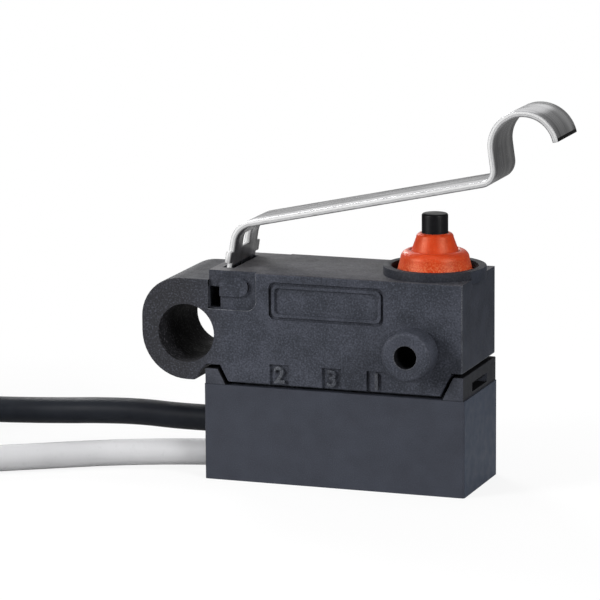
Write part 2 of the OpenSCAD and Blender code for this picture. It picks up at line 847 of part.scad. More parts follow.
module potting() {
  color("#1f1f22")
    difference() {
      block(
        [-end_x + cover_wall, -front_y + cover_wall, cover_floor],
        [end_x - cover_wall, front_y - cover_wall, cover_h - base_plug]
      );
      inner_leads();
      common_terminal_solid();
      no_terminal_solid();
      nc_terminal_solid();
    }
}

// Half section of the boot: outer skin from the flange to the lip, then the inner skin back
function boot_section() =
  let (
    top = case_top + boot_up,
    flange = collar_in_r - plug_clear,
    foot_z = seat_z + boot_foot,
    skirt_z = foot_z + skirt_flare,
    crest_z = case_top + crest_up,
    waist_z = case_top + waist_up,
    skirt_in = skirt_r - boot_wall,
    grip = plunger_r + slide_clear / 3
  ) concat(
    [[flange, seat_z], [flange, foot_z]],
    arc_points([skirt_r + skirt_flare, skirt_z], skirt_flare, 270, 180, round_steps),
    arc_points([crest_r, crest_z - crest_curl], crest_curl, 0, crest_turn, 2 * round_steps),
    [[waist_r, waist_z]],
    arc_points([lip_r - lip_round, top - lip_round], lip_round, 0, 90, round_steps),
    [
      [grip, top],
      [grip, top - lip_grip],
      [waist_r - boot_wall, waist_z - boot_wall],
      [crest_r, crest_z - boot_wall],
      [skirt_in, skirt_z],
      [skirt_in, seat_z]
    ]
  );

module boot() {
  color("#e0481c")
    translate([plunger_x, 0, 0])
      rotate_extrude()
        polygon(boot_section());
}

module plunger() {
  edge = [plunger_r - plunger_round, plunger_top - plunger_round];
  color("#17181a")
    union() {
      translate([plunger_x, 0, 0])
        rotate_extrude()
          polygon(concat(
            [
              [0, stem_low],
              [stem_d / 2, stem_low],
              [stem_d / 2, flange_low],
              [flange_d / 2, flange_low],
              [flange_d / 2, flange_top],
              [plunger_r, flange_top]
            ],
            arc_points(edge, plunger_round, 0, 90, round_steps),
            [[0, plunger_top]]
          ));
      difference() {
        block(
          [hook_x - hook_half, -hook_half, flange_low],
          [plunger_x - flange_d / 2 + hook_half, hook_half, flange_top]
        );
        bar_y(hook_x, hook_z, hook_hole_d, -flange_d, flange_d);
      }
    }
}

// Point on the tail at a distance along it from the hinge axis
function tail_at(s) = s * [cos(tail_heading), sin(tail_heading)];

// One face of the lever's sheet, from foot to rolled end; side is 1 on the left of that way
function sheet_face(side) =
  let (
    off = side * sheet_t / 2,
    arm_dir = [cos(arm_rise), sin(arm_rise)],
    arm_left = [-sin(arm_rise), cos(arm_rise)],
    tail_left = [-sin(tail_heading), cos(tail_heading)],
    tail_centre = tail_at(tail_end) - tail_bend_r * tail_left,
    riser_centre = riser_corner - riser_tangent * arm_dir + riser_bend_r * arm_left
  ) concat(
    [tail_at(-foot_len) + off * tail_left],
    arc_points(tail_centre, tail_bend_r + off, tail_heading + 90, arm_rise + 90, bend_steps),
    arc_points(riser_centre, riser_bend_r - off, arm_rise - 90, riser_heading - 90, bend_steps),
    arc_points(roll_centre, roll_r + off, riser_heading + 90, roll_stop, roll_steps)
  );

// Points in the other order
function turned(points) = [for (i = [len(points) - 1:-1:0]) points[i]];

// Cut that narrows the lever to a width between two places along the tail
module narrow(from, to, width) {
  for (side = [0, 1])
    mirror([0, 0, side])
      rotate(tail_heading)
        translate([from, -lever_span, width / 2])
          cube([to - from, 2 * lever_span, foot_w]);
}

module lever() {
  shoulder_from = (hinge_drop + shoulder_gap) / sin(tail_heading);
  shoulder_to = shoulder_from + shoulder_h;
  color("#b9bbbd")
    translate([hinge_x, 0, hinge_z])
      rotate([90, 0, 0])
        difference() {
          linear_extrude(foot_w, center = true)
            polygon(concat(sheet_face(1), turned(sheet_face(-1))));
          narrow(foot_h - foot_len, shoulder_from, lever_w);
          narrow(shoulder_from, shoulder_to, shoulder_w);
          narrow(shoulder_to, lever_span, lever_w);
          rotate(tail_heading)
            translate([shoulder_to + relief_up, -sheet_t, -relief_w / 2])
              cube([relief_len, 2 * sheet_t, relief_w]);
        }
}

// Forked terminal that the moving arm rocks on
module common_terminal_solid() {
  fork_half = blade_w / 2 + edge_gap;
  fork_x = knife_x - notch_in / 4;
  block([com_x - leg_w / 2, leg_front, com_leg_low], [com_x + leg_w / 2, leg_back, base_top]);
  block([com_x - leg_w / 2, -fork_half, base_top - eps], [com_x + leg_w / 2, fork_half, base_top + foot_t]);
  for (side = [-1, 1])
    mirror([0, side < 0 ? 1 : 0, 0])
      difference() {
        block(
          [fork_x, blade_window_w / 2 + edge_gap, base_top],
          [knife_x + leg_t, fork_half, arm_z + fork_up]
        );
        through(4 * fork_half)
          polygon([
            [knife_x - notch_in / 2, arm_z - notch_half],
            [knife_x + notch_in / 2, arm_z],
            [knife_x - notch_in / 2, arm_z + notch_half]
          ]);
      }
}

module common_terminal() {
  color("#c9a85a")
    union()
      common_terminal_solid();
}

module no_terminal_solid() {
  foot_half = contact_d / 2 + edge_gap;
  block([no_x - leg_w / 2, leg_front, short_leg_low], [no_x + leg_w / 2, leg_back, base_top]);
  block(
    [contact_x - foot_half, -foot_half, base_top - eps],
    [no_x + leg_w / 2, foot_half, base_top + foot_t]
  );
}

module no_terminal() {
  color("#c9a85a")
    union()
      no_terminal_solid();
}

module nc_terminal_solid() {
  bar_half = contact_d / 2 + edge_gap;
  block([nc_x - leg_w / 2, leg_front, short_leg_low], [nc_x + leg_w / 2, leg_back, nc_jog_z + foot_t]);
  block([nc_post_x, leg_front, nc_jog_z], [nc_x + leg_w / 2, leg_back, nc_jog_z + foot_t]);
  block([nc_post_x, -bar_half, nc_jog_z], [nc_post_x + foot_t, bar_half, nc_bar_low + foot_t]);
  block([nc_post_x, -bar_half, nc_bar_low], [contact_x + bar_half, bar_half, nc_bar_low + foot_t]);
}

module nc_terminal() {
  color("#c9a85a")
    union()
      nc_terminal_solid();
}

module moving_arm() {
  half = blade_w / 2;
  low = arm_z - blade_t / 2;
  high = arm_z + blade_t / 2;
  color("#c58b4c")
    difference() {
      block([arm_left, -half, low], [knife_x, half, high]);
      block([arm_hook_x, -blade_window_w / 2, low - eps], [knife_x + eps, blade_window_w / 2, high + eps]);
      translate([contact_x, 0, low - eps])
        cylinder(d = contact_d / 2, h = blade_t + 2 * eps);
    }
}

module moving_contact() {
  cap = (contact_t - blade_t) / 2;
  color("#d8d8d4")
    translate([contact_x, 0, moving_low])
      union() {
        cylinder(d = contact_d, h = cap);
        cylinder(d = contact_d / 2, h = contact_t);
        translate([0, 0, cap + blade_t])
          cylinder(d = contact_d, h = cap);
      }
}

module no_contact() {
  color("#d8d8d4")
    translate([contact_x, 0, base_top + foot_t])
      cylinder(d = contact_d, h = no_face - base_top - foot_t);
}

module nc_contact() {
  color("#d8d8d4")
    translate([contact_x, 0, nc_face])
      cylinder(d = contact_d, h = nc_bar_low - nc_face);
}

// Points of a coil spring along +Z from its first wire's middle to its last
function spring_path(r, length, turns) = [
  for (i = [0:turns * turn_points])
    let (t = i / (turns * turn_points), a = 360 * turns * t)
      [r * cos(a), r * sin(a), length * t]
];

module return_spring() {
  length = flange_low - base_top - 2 * return_wire - 2 * spring_gap;
  color("#9a9c9e")
    translate([plunger_x, 0, base_top + return_wire + spring_gap])
      tube(spring_path(return_r, length, return_turns), return_wire, wire_sides);
}

module snap_spring() {
  from = [arm_hook_x + 2 * snap_wire, 0, arm_z];
  to = [hook_x - hook_half - 2 * snap_wire, 0, hook_z];
  span = to - from;
  color("#9a9c9e")
    translate(from)
      rotate([0, 90 - atan2(span[2], span[0]), 0])
        tube(spring_path(snap_r, norm(span), snap_turns), snap_wire, wire_sides);
}

// Solder round a conductor, flat against the front of a terminal's leg
module solder_blank(x, z) {
  intersection() {
    bar_x(-lead_front, z, solder_d, x - leg_w / 2 + eps, x + leg_w / 2 - eps);
    block([x - leg_w, -front_y, z - solder_d], [x + leg_w, leg_front, z + solder_d]);
  }
}

module solder(x, z) {
  color("#b4b6b8")
    difference() {
      solder_blank(x, z);
      bar_x(-lead_front, z, core_d, x - leg_w, x + leg_w);
    }
}

module common_solder() {
  solder(com_x, lead_low);
}

module no_solder() {
  solder(no_x, lead_high);
}

module black_root_solid() {
  bar_x(-lead_front, lead_high, lead_d, -end_x, no_x - bare_len);
}

module grey_root_solid() {
  bar_x(-lead_front, lead_low, lead_d, -end_x, com_x - bare_len);
}

module black_root() {
  color("#1f2428")
    union()
      black_root_solid();
}

module grey_root() {
  color("#c8c8ca")
    union()
      grey_root_solid();
}

module black_core() {
  color("#c9ccd0")
    bar_x(-lead_front, lead_high, core_d, no_x - bare_len, no_x + leg_w / 2);
}

module grey_core() {
  color("#c9ccd0")
    bar_x(-lead_front, lead_low, core_d, com_x - bare_len, com_x + leg_w / 2);
}

// Outer shape of one lead's coil: two layers of turns round the coil's middle
module coil_solid(outer_r, extra, floor_z) {
  inner = outer_r - coil_turns * lead_d - lead_r;
  outer = outer_r + extra * lead_d + lead_r;
  translate([coil_x, coil_y, floor_z])
    rotate_extrude()
      translate([inner, 0])
        square([outer - inner, 2 * lead_d]);
}

module black_lead() {
  color("#1f2428")
    tube(black_route, lead_r, lead_sides);
}

module black_coil() {
  color("#1f2428")
    coil_solid(black_r, black_extra, black_floor);
}

module black_tail() {
  color("#1f2428")
    tube(black_tail_route, lead_r, lead_sides);
}

module black_tip() {
  end = black_tail_route[len(black_tail_route) - 1];
  color("#c9ccd0")
    bar_y(end[0], end[2], core_d, end[1], end[1] + strip_len);
}

module grey_lead() {
  color("#c8c8ca")
    tube(grey_route, lead_r, lead_sides);
}

module grey_coil() {
  color("#c8c8ca")
    coil_solid(grey_r, 0, grey_floor);
}

module grey_tail() {
  color("#c8c8ca")
    tube(grey_tail_route, lead_r, lead_sides);
}

module grey_tip() {
  end = grey_tail_route[len(grey_tail_route) - 1];
  color("#c9ccd0")
    bar_x(end[1], end[2], core_d, end[0] - strip_len, end[0]);
}

// Two bands round both coils
module coil_ties() {
  inner = min(grey_r, black_r) - coil_turns * lead_d - lead_r;
  outer = max(grey_r, black_r + black_extra * lead_d) + lead_r;
  high = black_floor + 2 * lead_d;
  color("#2a2a2c")
    translate([coil_x, coil_y, 0])
      for (place = tie_places)
        rotate(place)
          rotate_extrude(angle = tie_turn)
            difference() {
              translate([inner - tie_t, 0])
                square([outer - inner + 2 * tie_t, high + tie_t]);
              translate([inner, tie_t])
                square([outer - inner, high - tie_t]);
            }
}

case();
base();
terminal_cover();
potting();
boot();
plunger();
lever();
common_terminal();
no_terminal();
nc_terminal();
moving_arm();
moving_contact();
no_contact();
nc_contact();
return_spring();
snap_spring();
common_solder();
no_solder();
black_root();
grey_root();
black_core();
grey_core();
black_lead();
black_coil();
black_tail();
black_tip();
grey_lead();
grey_coil();
grey_tail();
grey_tip();
coil_ties();
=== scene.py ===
"""Looks of a sealed micro switch: moulded body, rubber boot, hinged sheet lever and two leads."""

import logging
import math
from dataclasses import dataclass
from enum import Enum, IntEnum
from typing import Callable, Sequence

import bmesh
import bpy
from bmesh.types import BMEdge, BMFace, BMesh, BMVert
from bpy.types import ID, Material, NodeSocket, Object, World
from mathutils import Matrix, Vector


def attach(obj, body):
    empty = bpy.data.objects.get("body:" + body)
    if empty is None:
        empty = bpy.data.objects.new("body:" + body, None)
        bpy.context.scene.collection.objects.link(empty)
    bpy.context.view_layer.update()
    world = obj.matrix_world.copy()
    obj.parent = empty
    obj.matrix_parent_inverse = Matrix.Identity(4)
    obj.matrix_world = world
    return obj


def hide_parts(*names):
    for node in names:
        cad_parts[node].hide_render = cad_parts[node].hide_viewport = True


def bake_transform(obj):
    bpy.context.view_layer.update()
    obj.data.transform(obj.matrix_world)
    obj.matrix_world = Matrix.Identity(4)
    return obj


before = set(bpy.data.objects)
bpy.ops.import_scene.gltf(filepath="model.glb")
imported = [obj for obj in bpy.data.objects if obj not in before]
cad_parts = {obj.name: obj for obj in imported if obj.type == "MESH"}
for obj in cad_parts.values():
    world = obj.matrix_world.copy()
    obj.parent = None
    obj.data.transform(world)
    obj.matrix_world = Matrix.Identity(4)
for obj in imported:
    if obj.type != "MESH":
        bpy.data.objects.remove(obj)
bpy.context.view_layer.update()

LOG = logging.getLogger("micro_switch")
IMAGE_PX = 600
MM = 0.001
CAD_WELD = 2e-6
FINE_WELD = 1e-7
FLAT_ANGLE = math.radians(0.6)
MIDDLE = (0.3, 0.7)
UNIT = (0.0, 1.0)
ANYWHERE = (-math.inf, math.inf)

Colour = tuple[float, float, float]
Point = tuple[float, float, float]
Pair = tuple[float, float]
Value = NodeSocket | float | Sequence[float]


class Body(Enum):
    """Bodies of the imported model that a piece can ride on."""

    SWITCH = "body"
    LEVER = "lever"
    PLUNGER = "plunger"


class CaseFace(IntEnum):
    """Material numbers on the case, in the order of its finishes."""

    GRAINED = 0
    SHADED_END = 1
    SHADED_COLLAR = 2
    BORE = 3
    SHADED_PIT = 4
    RUBBED_HIGHLIT = 5
    LIT_TOP = 6
    HIGHLIGHT_RIM = 7


class LeverFace(IntEnum):
    """Material numbers on the lever, in the order of its finishes."""

    SHEET = 0
    SHEAR = 1
    SHADED_BLACK = 2


def scaled(colour: Colour, factor: float) -> Colour:
    """Gives a colour that is darker or lighter by a factor."""
    return tuple(c * factor for c in colour)


def neutral(level: float) -> Colour:
    """Gives a grey."""
    return (level, level, level)


class Graph:
    """Node tree of a material or the world, with short calls for the nodes that they use."""

    def __init__(self, owner: Material | World) -> None:
        """Starts with the bare shader.

        Args:
            owner: The new material or world.
        """
        owner.use_nodes = True
        self.nodes = owner.node_tree.nodes
        self.links = owner.node_tree.links
        self.shader = self.nodes.get("Principled BSDF") or self.nodes["Background"]

    def join(self, value: Value, target: NodeSocket) -> None:
        """Links a pattern to an input, or sets the input to a fixed value.

        Args:
            value: The pattern or the fixed value.
            target: The input.
        """
        if isinstance(value, NodeSocket):
            self.links.new(value, target)
        else:
            target.default_value = value

    def add(
        self, kind: str, output: str | int, inputs: dict[str | int, Value], **options: object,
    ) -> NodeSocket:
        """Adds a node and fills its inputs.

        Args:
            kind: Type of the node, without the prefix that all share.
            output: Name or number of the output that is wanted.
            inputs: Patterns or fixed values for its inputs.
            options: Settings of the node itself.

        Returns:
            The wanted output.
        """
        node = self.nodes.new(f"ShaderNode{kind}")
        for name, option in options.items():
            setattr(node, name, option)
        for name, value in inputs.items():
            self.join(value, node.inputs[name])
        return node.outputs[output]

    def feed(self, inputs: dict[str, Value]) -> None:
        """Fills inputs of the shader by their names."""
        for name, value in inputs.items():
            self.join(value, self.shader.inputs[name])

    def place(self, stretch: Point = (1, 1, 1)) -> NodeSocket:
        """Gives the piece's own coordinates, so many times finer along X, Y and Z."""
        spot = self.add("TexCoord", "Object", {})
        return self.add("Mapping", "Vector", {"Vector": spot, "Scale": stretch})

    def noise(self, size: float, detail: float = 3.0, stretch: Point = (1, 1, 1)) -> NodeSocket:
        """Makes clouds of a size in millimetres, about 0.5 on the average."""
        inputs = {"Vector": self.place(stretch), "Scale": 1 / (size * MM), "Detail": detail}
        return self.add("TexNoise", "Fac", inputs)

    def specks(self, size: float) -> NodeSocket:
        """Makes a pattern of cells of a size in millimetres, 0 in the middle of each."""
        inputs = {"Vector": self.place(), "Scale": 1 / (size * MM)}
        return self.add("TexVoronoi", "Distance", inputs)

    def spread(self, value: NodeSocket, source: Pair, target: Pair) -> NodeSocket:
        """Maps a value from one range to another and holds it there."""
        limits = zip(("From Min", "From Max", "To Min", "To Max"), (*source, *target))
        return self.add("MapRange", "Result", {"Value": value, **dict(limits)})

    def uneven(self, value: NodeSocket, level: float, below: float, above: float) -> NodeSocket:
        """Gives a number that follows clouds from below a level to above it."""
        return self.spread(value, MIDDLE, (level - below, level + above))

    def shade(self, value: NodeSocket, stops: Sequence[tuple[float, Colour]]) -> NodeSocket:
        """Turns a value into colours.

        Args:
            value: The value that picks the colour.
            stops: Places from 0 to 1 with their colours.

        Returns:
            The colour socket.
        """
        node = self.nodes.new("ShaderNodeValToRGB")
        elements = node.color_ramp.elements
        while len(elements) < len(stops):
            elements.new(0.5)
        for element, (place, colour) in zip(elements, stops):
            element.position = place
            element.color = (*colour, 1)
        self.links.new(value, node.inputs["Fac"])
        return node.outputs["Color"]

    def tint(self, colour: NodeSocket, other: NodeSocket | Colour, share: NodeSocket) -> NodeSocket:
        """Mixes a share of another colour into a first one."""
        second = other if isinstance(other, NodeSocket) else (*other, 1)
        return self.add("Mix", 2, {0: share, 6: colour, 7: second}, data_type="RGBA")

    def times(self, first: NodeSocket, second: NodeSocket | float) -> NodeSocket:
        """Multiplies two values and holds the result between 0 and 1."""
        return self.add("Math", 0, {0: first, 1: second}, operation="MULTIPLY", use_clamp=True)

    def plus(self, first: NodeSocket, second: NodeSocket) -> NodeSocket:
        """Adds two values and holds the result between 0 and 1."""
        return self.add("Math", 0, {0: first, 1: second}, operation="ADD", use_clamp=True)

    def carried(self, name: str) -> NodeSocket:
        """Reads a number that the mesh carries at its points under a name."""
        return self.add("Attribute", "Fac", {}, attribute_name=name)

    def along(self, spot: NodeSocket, way: Point) -> NodeSocket:
        """Gives how far coordinates lie along a direction."""
        return self.add("VectorMath", "Value", {0: spot, 1: way}, operation="DOT_PRODUCT")

    def away(self, spot: NodeSocket, point: Point) -> NodeSocket:
        """Gives how far coordinates lie from a point."""
        return self.add("VectorMath", "Value", {0: spot, 1: point}, operation="DISTANCE")

    def fade(self, way: Point, span: Pair, strength: float) -> NodeSocket:
        """Gives a value that falls to 0 along a direction, over a span in millimetres."""
        metres = tuple(place * MM for place in span)
        return self.spread(self.along(self.place(), way), metres, (strength, 0.0))

    def relief(self, *layers: tuple[NodeSocket, float]) -> None:
        """Raises the surface by one or more height patterns.

        Args:
            layers: Patterns with their depth in micrometres.
        """
        raised = {}
        for height, depth in layers:
            inputs = {"Distance": depth * MM * MM, "Height": height, **raised}
            raised = {"Normal": self.add("Bump", "Normal", inputs)}
        self.feed(raised)


@dataclass(frozen=True)
class Finish:
    """What every finish shares.

    Attributes:
        name: Name of the material.
        slot: Slot of the record that the finish stands for; not used.
    """

    name: str
    slot: str

    def paint(self, graph: Graph) -> None:
        """Builds the finish's nodes.

        Args:
            graph: The material's node tree.
        """
        raise NotImplementedError

    def material(self) -> Material:
        """Gives the finish's material, made at its first use.

        Returns:
            The material.
        """
        ready = bpy.data.materials.get(self.name)
        if ready is None:
            ready = bpy.data.materials.new(self.name)
            self.paint(Graph(ready))
        return ready


@dataclass(frozen=True)
class MouldedPlastic(Finish):
    """Moulded plastic with an eroded grain, slight clouds in its colour, and an optional painted tone
    of light and shade along X.
    """

    dark: Colour
    light: Colour
    grain: float
    depth: float
    roughness: float
    specular: float = 0.3
    pitting: float = 0.5
    painted_tone: Colour = (0.0, 0.0, 0.0)
    painted_tone_span: Pair | None = None

    def paint(self, graph: Graph) -> None:
        """Builds clouds, grain, an optional painted tone of light and shade along X, and the uneven
        gloss of a tool's surface.

        Args:
            graph: The material's node tree.
        """
        clouds = graph.noise(size=1.1, detail=6.0)
        grain = graph.noise(size=self.grain, detail=2.0)
        patches = graph.noise(size=0.55)
        base = graph.shade(clouds, ((0.32, self.dark), (0.68, self.light)))
        # Painted tone: a colour faded in towards one end along X, painted shade on the case's ear and
        # bore and painted light on its top.
        if self.painted_tone_span is not None:
            wear_and_painted_tone = graph.fade((1, 0, 0), self.painted_tone_span, strength=0.9)
            base = graph.tint(base, self.painted_tone, wear_and_painted_tone)
        pits = graph.spread(grain, (0.34, 0.5), (self.pitting, 0.0))
        tops = graph.spread(grain, (0.54, 0.7), (0.0, self.pitting))
        pitted = graph.tint(base, scaled(self.dark, 0.35), pits)
        graph.feed({
            "Base Color": graph.tint(pitted, scaled(self.light, 1.9), tops),
            "Roughness": graph.uneven(patches, self.roughness, below=0.06, above=0.08),
            "Specular IOR Level": self.specular,
        })
        graph.relief((patches, self.depth * 0.5), (grain, self.depth))


@dataclass(frozen=True)
class SoftRubber(Finish):
    """Soft coloured rubber with a dusty bloom and fine specks."""

    deep: Colour
    light: Colour
    bloom: Colour
    roughness: float
    dusty_up_to: Pair

    def paint(self, graph: Graph) -> None:
        """Builds the rubber's clouds, its bloom, thicker near the foot, and its soft gloss.

        Args:
            graph: The material's node tree.
        """
        clouds = graph.noise(size=0.9, detail=4.0)
        dust = graph.noise(size=0.075)
        base = graph.shade(clouds, ((0.3, self.deep), (0.7, self.light)))
        dusty = graph.tint(base, self.bloom, graph.spread(dust, (0.54, 0.72), (0.0, 0.15)))
        low = graph.fade((0, 0, 1), self.dusty_up_to, strength=1.0)
        grit = graph.times(graph.spread(dust, (0.46, 0.6), (0.0, 0.5)), low)
        dusty = graph.tint(dusty, self.bloom, grit)
        dots = graph.spread(graph.specks(size=0.15), (0.05, 0.17), (0.55, 0.0))
        graph.feed({
            "Base Color": graph.tint(dusty, scaled(self.deep, 0.3), dots),
            "Roughness": graph.uneven(dust, self.roughness, below=0.08, above=0.12),
            "Specular IOR Level": 0.65,
            "Specular Tint": (1.0, 0.5, 0.32, 1.0),
            "Sheen Weight": 0.06,
            "Sheen Roughness": 0.4,
            "Sheen Tint": (1.0, 0.6, 0.45, 1.0),
            "Subsurface Weight": 0.06,
            "Subsurface Scale": 0.2 * MM,
            "Subsurface Radius": (1.0, 0.3, 0.1),
        })
        graph.relief((clouds, 10.0), (dust, 7.0))


@dataclass(frozen=True)
class Metal(Finish):
    """Bare metal with drawn-out streaks, faint stains and an uneven polish."""

    dark: Colour
    light: Colour
    roughness: float
    streak: float = 0.08
    stretch: Point = (1, 1, 1)
    depth: float = 2.0
    scuff: float = 0.1
    shaded: float = 0.0

    def paint(self, graph: Graph) -> None:
        """Builds streaks, stains, a shaded stretch and the polish.

        Args:
            graph: The material's node tree.
        """
        streaks = graph.noise(self.streak, 4.0, self.stretch)
        bands = graph.noise(self.streak * 6, 3.0, self.stretch)
        stains = graph.noise(size=1.3, detail=4.0)
        drawn = graph.plus(graph.times(streaks, 0.4), graph.times(bands, 0.6))
        base = graph.shade(drawn, ((0.36, self.dark), (0.62, self.light)))
        dull = scaled(self.dark, 0.55)
        stained_and_shaded = graph.tint(base, dull, graph.spread(stains, (0.52, 0.75), (0.0, 0.4)))
        # Painted shade: the arm's top stretch is darkened by the shaded share.
        if self.shaded > 0:
            stained_and_shaded = graph.tint(stained_and_shaded, dull, graph.times(graph.carried("shade"), self.shaded))
        graph.feed({
            "Base Color": stained_and_shaded,
            "Metallic": 1.0,
            "Roughness": graph.uneven(streaks, self.roughness, self.scuff, self.scuff),
        })
        graph.relief((streaks, self.depth))


@dataclass(frozen=True)
class ShearedEdge(Finish):
    """Sheared rim of a metal sheet: a bright burnished band over a thin dark line along its lower
    side.
    """

    bright: Colour
    dull: Colour
    low_line: Colour
    roughness: float

    def paint(self, graph: Graph) -> None:
        """Builds the band across the sheet's thickness, its dark lower line and its glints.

        Args:
            graph: The material's node tree.
        """
        grains = graph.noise(size=0.08)
        waves = graph.noise(0.5, 2.0, (1, 1, 0.2))
        ragged = graph.plus(graph.carried("across"), graph.spread(waves, MIDDLE, (-0.06, 0.06)))
        band = graph.shade(ragged, (
            (0.08, self.dull), (0.2, self.bright), (0.44, self.bright), (0.54, self.dull),
            (0.64, self.bright), (0.82, self.dull), (0.92, self.low_line),
        ))
        pits = graph.spread(grains, (0.36, 0.5), (0.15, 0.0))
        graph.feed({
            "Base Color": graph.tint(band, self.low_line, pits),
            "Metallic": 1.0,
            "Roughness": graph.uneven(grains, self.roughness, below=0.06, above=0.06),
        })
        graph.relief((grains, 2.0))


@dataclass(frozen=True)
class Insulation(Finish):
    """Extruded wire insulation: smooth, with faint die lines and handling marks."""

    dark: Colour
    light: Colour
    roughness: float
    specular: float = 0.4
    milky: float = 0.0

    def paint(self, graph: Graph) -> None:
        """Builds the insulation's colour, gloss, depth and die lines.

        Args:
            graph: The material's node tree.
        """
        clouds = graph.noise(size=2.4, detail=4.0)
        lines = graph.noise(0.12, 2.0, (0.04, 1, 1))
        marks = graph.noise(size=0.3)
        base = graph.shade(clouds, ((0.3, self.dark), (0.7, self.light)))
        wear_and_painted_tone = graph.spread(marks, (0.6, 0.76), (0.0, 0.2))
        graph.feed({
            "Base Color": graph.tint(base, scaled(self.dark, 0.7), wear_and_painted_tone),
            "Roughness": graph.uneven(marks, self.roughness, below=0.06, above=0.1),
            "Specular IOR Level": self.specular,
            "Subsurface Weight": self.milky,
            "Subsurface Scale": 0.8 * MM,
            "Subsurface Radius": (1.0, 1.0, 1.0),
        })
        graph.relief((lines, 3.0), (marks, 4.0))


# Painted shade: its tone darkens the ear at the case's left end.
CASE_FINISH = MouldedPlastic(
    "grained_case_plastic", "case_plastic", (0.027, 0.030, 0.039), (0.047, 0.051, 0.066),
    grain=0.085, depth=8.0, roughness=0.58, specular=0.14, pitting=0.42,
    painted_tone=(0.023, 0.023, 0.026), painted_tone_span=(-7.6, -5.2),
)
# Finer grain, and painted shade: the case's end wall is darker than its front.
SMOOTH_SHADED_END_FINISH = MouldedPlastic(
    "smooth_shaded_case_end", "case_plastic", (0.019, 0.022, 0.030), (0.030, 0.034, 0.046),
    grain=0.06, depth=4.0, roughness=0.52, specular=0.14, pitting=0.2,
)
# Painted light: the case's top is lighter than its front, and lighter still by the lever's tail, where
# its shadow falls.
LIT_TOP_FINISH = MouldedPlastic(
    "painted_light_case_top", "case_plastic", (0.032, 0.032, 0.038), (0.055, 0.055, 0.064),
    grain=0.085, depth=8.0, roughness=0.58, specular=0.17, pitting=0.42,
    painted_tone=(0.100, 0.098, 0.102), painted_tone_span=(-5.5, -3.2),
)
BASE_FINISH = MouldedPlastic(
    "grained_base_plastic", "base_plastic", (0.029, 0.032, 0.041), (0.043, 0.046, 0.058),
    grain=0.085, depth=6.0, roughness=0.58, specular=0.16, pitting=0.28,
)
# Finer grain, and painted shade: the base's end wall is darker than its front.
SMOOTH_SHADED_BASE_END_FINISH = MouldedPlastic(
    "smooth_shaded_base_end", "base_plastic", (0.013, 0.014, 0.017), (0.021, 0.022, 0.026),
    grain=0.06, depth=4.0, roughness=0.56, specular=0.12, pitting=0.2,
)
COVER_FINISH = MouldedPlastic(
    "smooth_cover_plastic", "cover_plastic", (0.030, 0.033, 0.044), (0.035, 0.039, 0.052),
    grain=0.05, depth=2.5, roughness=0.48, specular=0.2, pitting=0.2,
)
# Finer grain, and painted reflection: the cover's end wall is lighter and bluer than its front.
SMOOTH_LIT_COVER_END_FINISH = MouldedPlastic(
    "smooth_cover_end_reflection", "cover_plastic", (0.030, 0.038, 0.056), (0.034, 0.043, 0.063),
    grain=0.05, depth=2.0, roughness=0.5, specular=0.16, pitting=0.15,
)
# Painted shade: the ear's bore is dark all through, and darkest towards its left end.
BORE_FINISH = MouldedPlastic(
    "shaded_bore_plastic", "case_plastic", (0.022, 0.022, 0.025), (0.050, 0.049, 0.055),
    grain=0.12, depth=9.0, roughness=0.7, specular=0.1, pitting=0.6,
    painted_tone=(0.003, 0.003, 0.004), painted_tone_span=(-8.2, -6.8),
)
# Painted shade: near black in the post's core hole, the slots at both ends, the hinge pockets' side
# walls and the base's joint line.
SHADED_PIT_FINISH = MouldedPlastic(
    "painted_shade_pit_plastic", "case_plastic", (0.004, 0.004, 0.005), (0.007, 0.007, 0.008),
    grain=0.1, depth=4.0, roughness=0.8, specular=0.04,
)
# Rubbed wear and painted highlight: lighter than the case, on the digits and on rounded edges of the
# right end, the pockets and the post's hole.
RUBBED_HIGHLIT_FINISH = MouldedPlastic(
    "rubbed_and_highlit_case_edge", "case_plastic", (0.030, 0.033, 0.042), (0.064, 0.068, 0.079),
    grain=0.06, depth=5.0, roughness=0.55, specular=0.2, pitting=0.6,
)
# Painted highlight: the pockets' lower and right rims, which face the light from above and the left.
HIGHLIGHT_RIM_FINISH = MouldedPlastic(
    "painted_highlight_rim", "case_plastic", (0.060, 0.063, 0.074), (0.150, 0.155, 0.170),
    grain=0.09, depth=6.0, roughness=0.5, specular=0.25, pitting=0.8,
)
# Painted shade: the collar's outer wall round the boot is darker than the case.
SHADED_COLLAR_FINISH = MouldedPlastic(
    "painted_shade_collar_plastic", "case_plastic", (0.015, 0.016, 0.021), (0.023, 0.025, 0.032),
    grain=0.075, depth=6.0, roughness=0.6, specular=0.12, pitting=0.4,
)
RESIN_FINISH = MouldedPlastic(
    "cast_resin", "resin", (0.010, 0.010, 0.012), (0.018, 0.018, 0.020),
    grain=0.3, depth=6.0, roughness=0.3,
)
PLUNGER_FINISH = MouldedPlastic(
    "satin_plunger_plastic", "plunger_plastic", (0.004, 0.004, 0.005), (0.007, 0.007, 0.008),
    grain=0.06, depth=3.0, roughness=0.36, specular=0.11, pitting=0.3,
)
TIE_FINISH = MouldedPlastic(
    "tie_band_plastic", "tie_plastic", (0.014, 0.014, 0.015), (0.024, 0.024, 0.026),
    grain=0.12, depth=5.0, roughness=0.4,
)
BOOT_FINISH = SoftRubber(
    "boot_orange_rubber", "boot_rubber", (0.41, 0.027, 0.003), (0.52, 0.040, 0.005),
    bloom=(0.72, 0.22, 0.09), roughness=0.44, dusty_up_to=(10.7, 11.5),
)
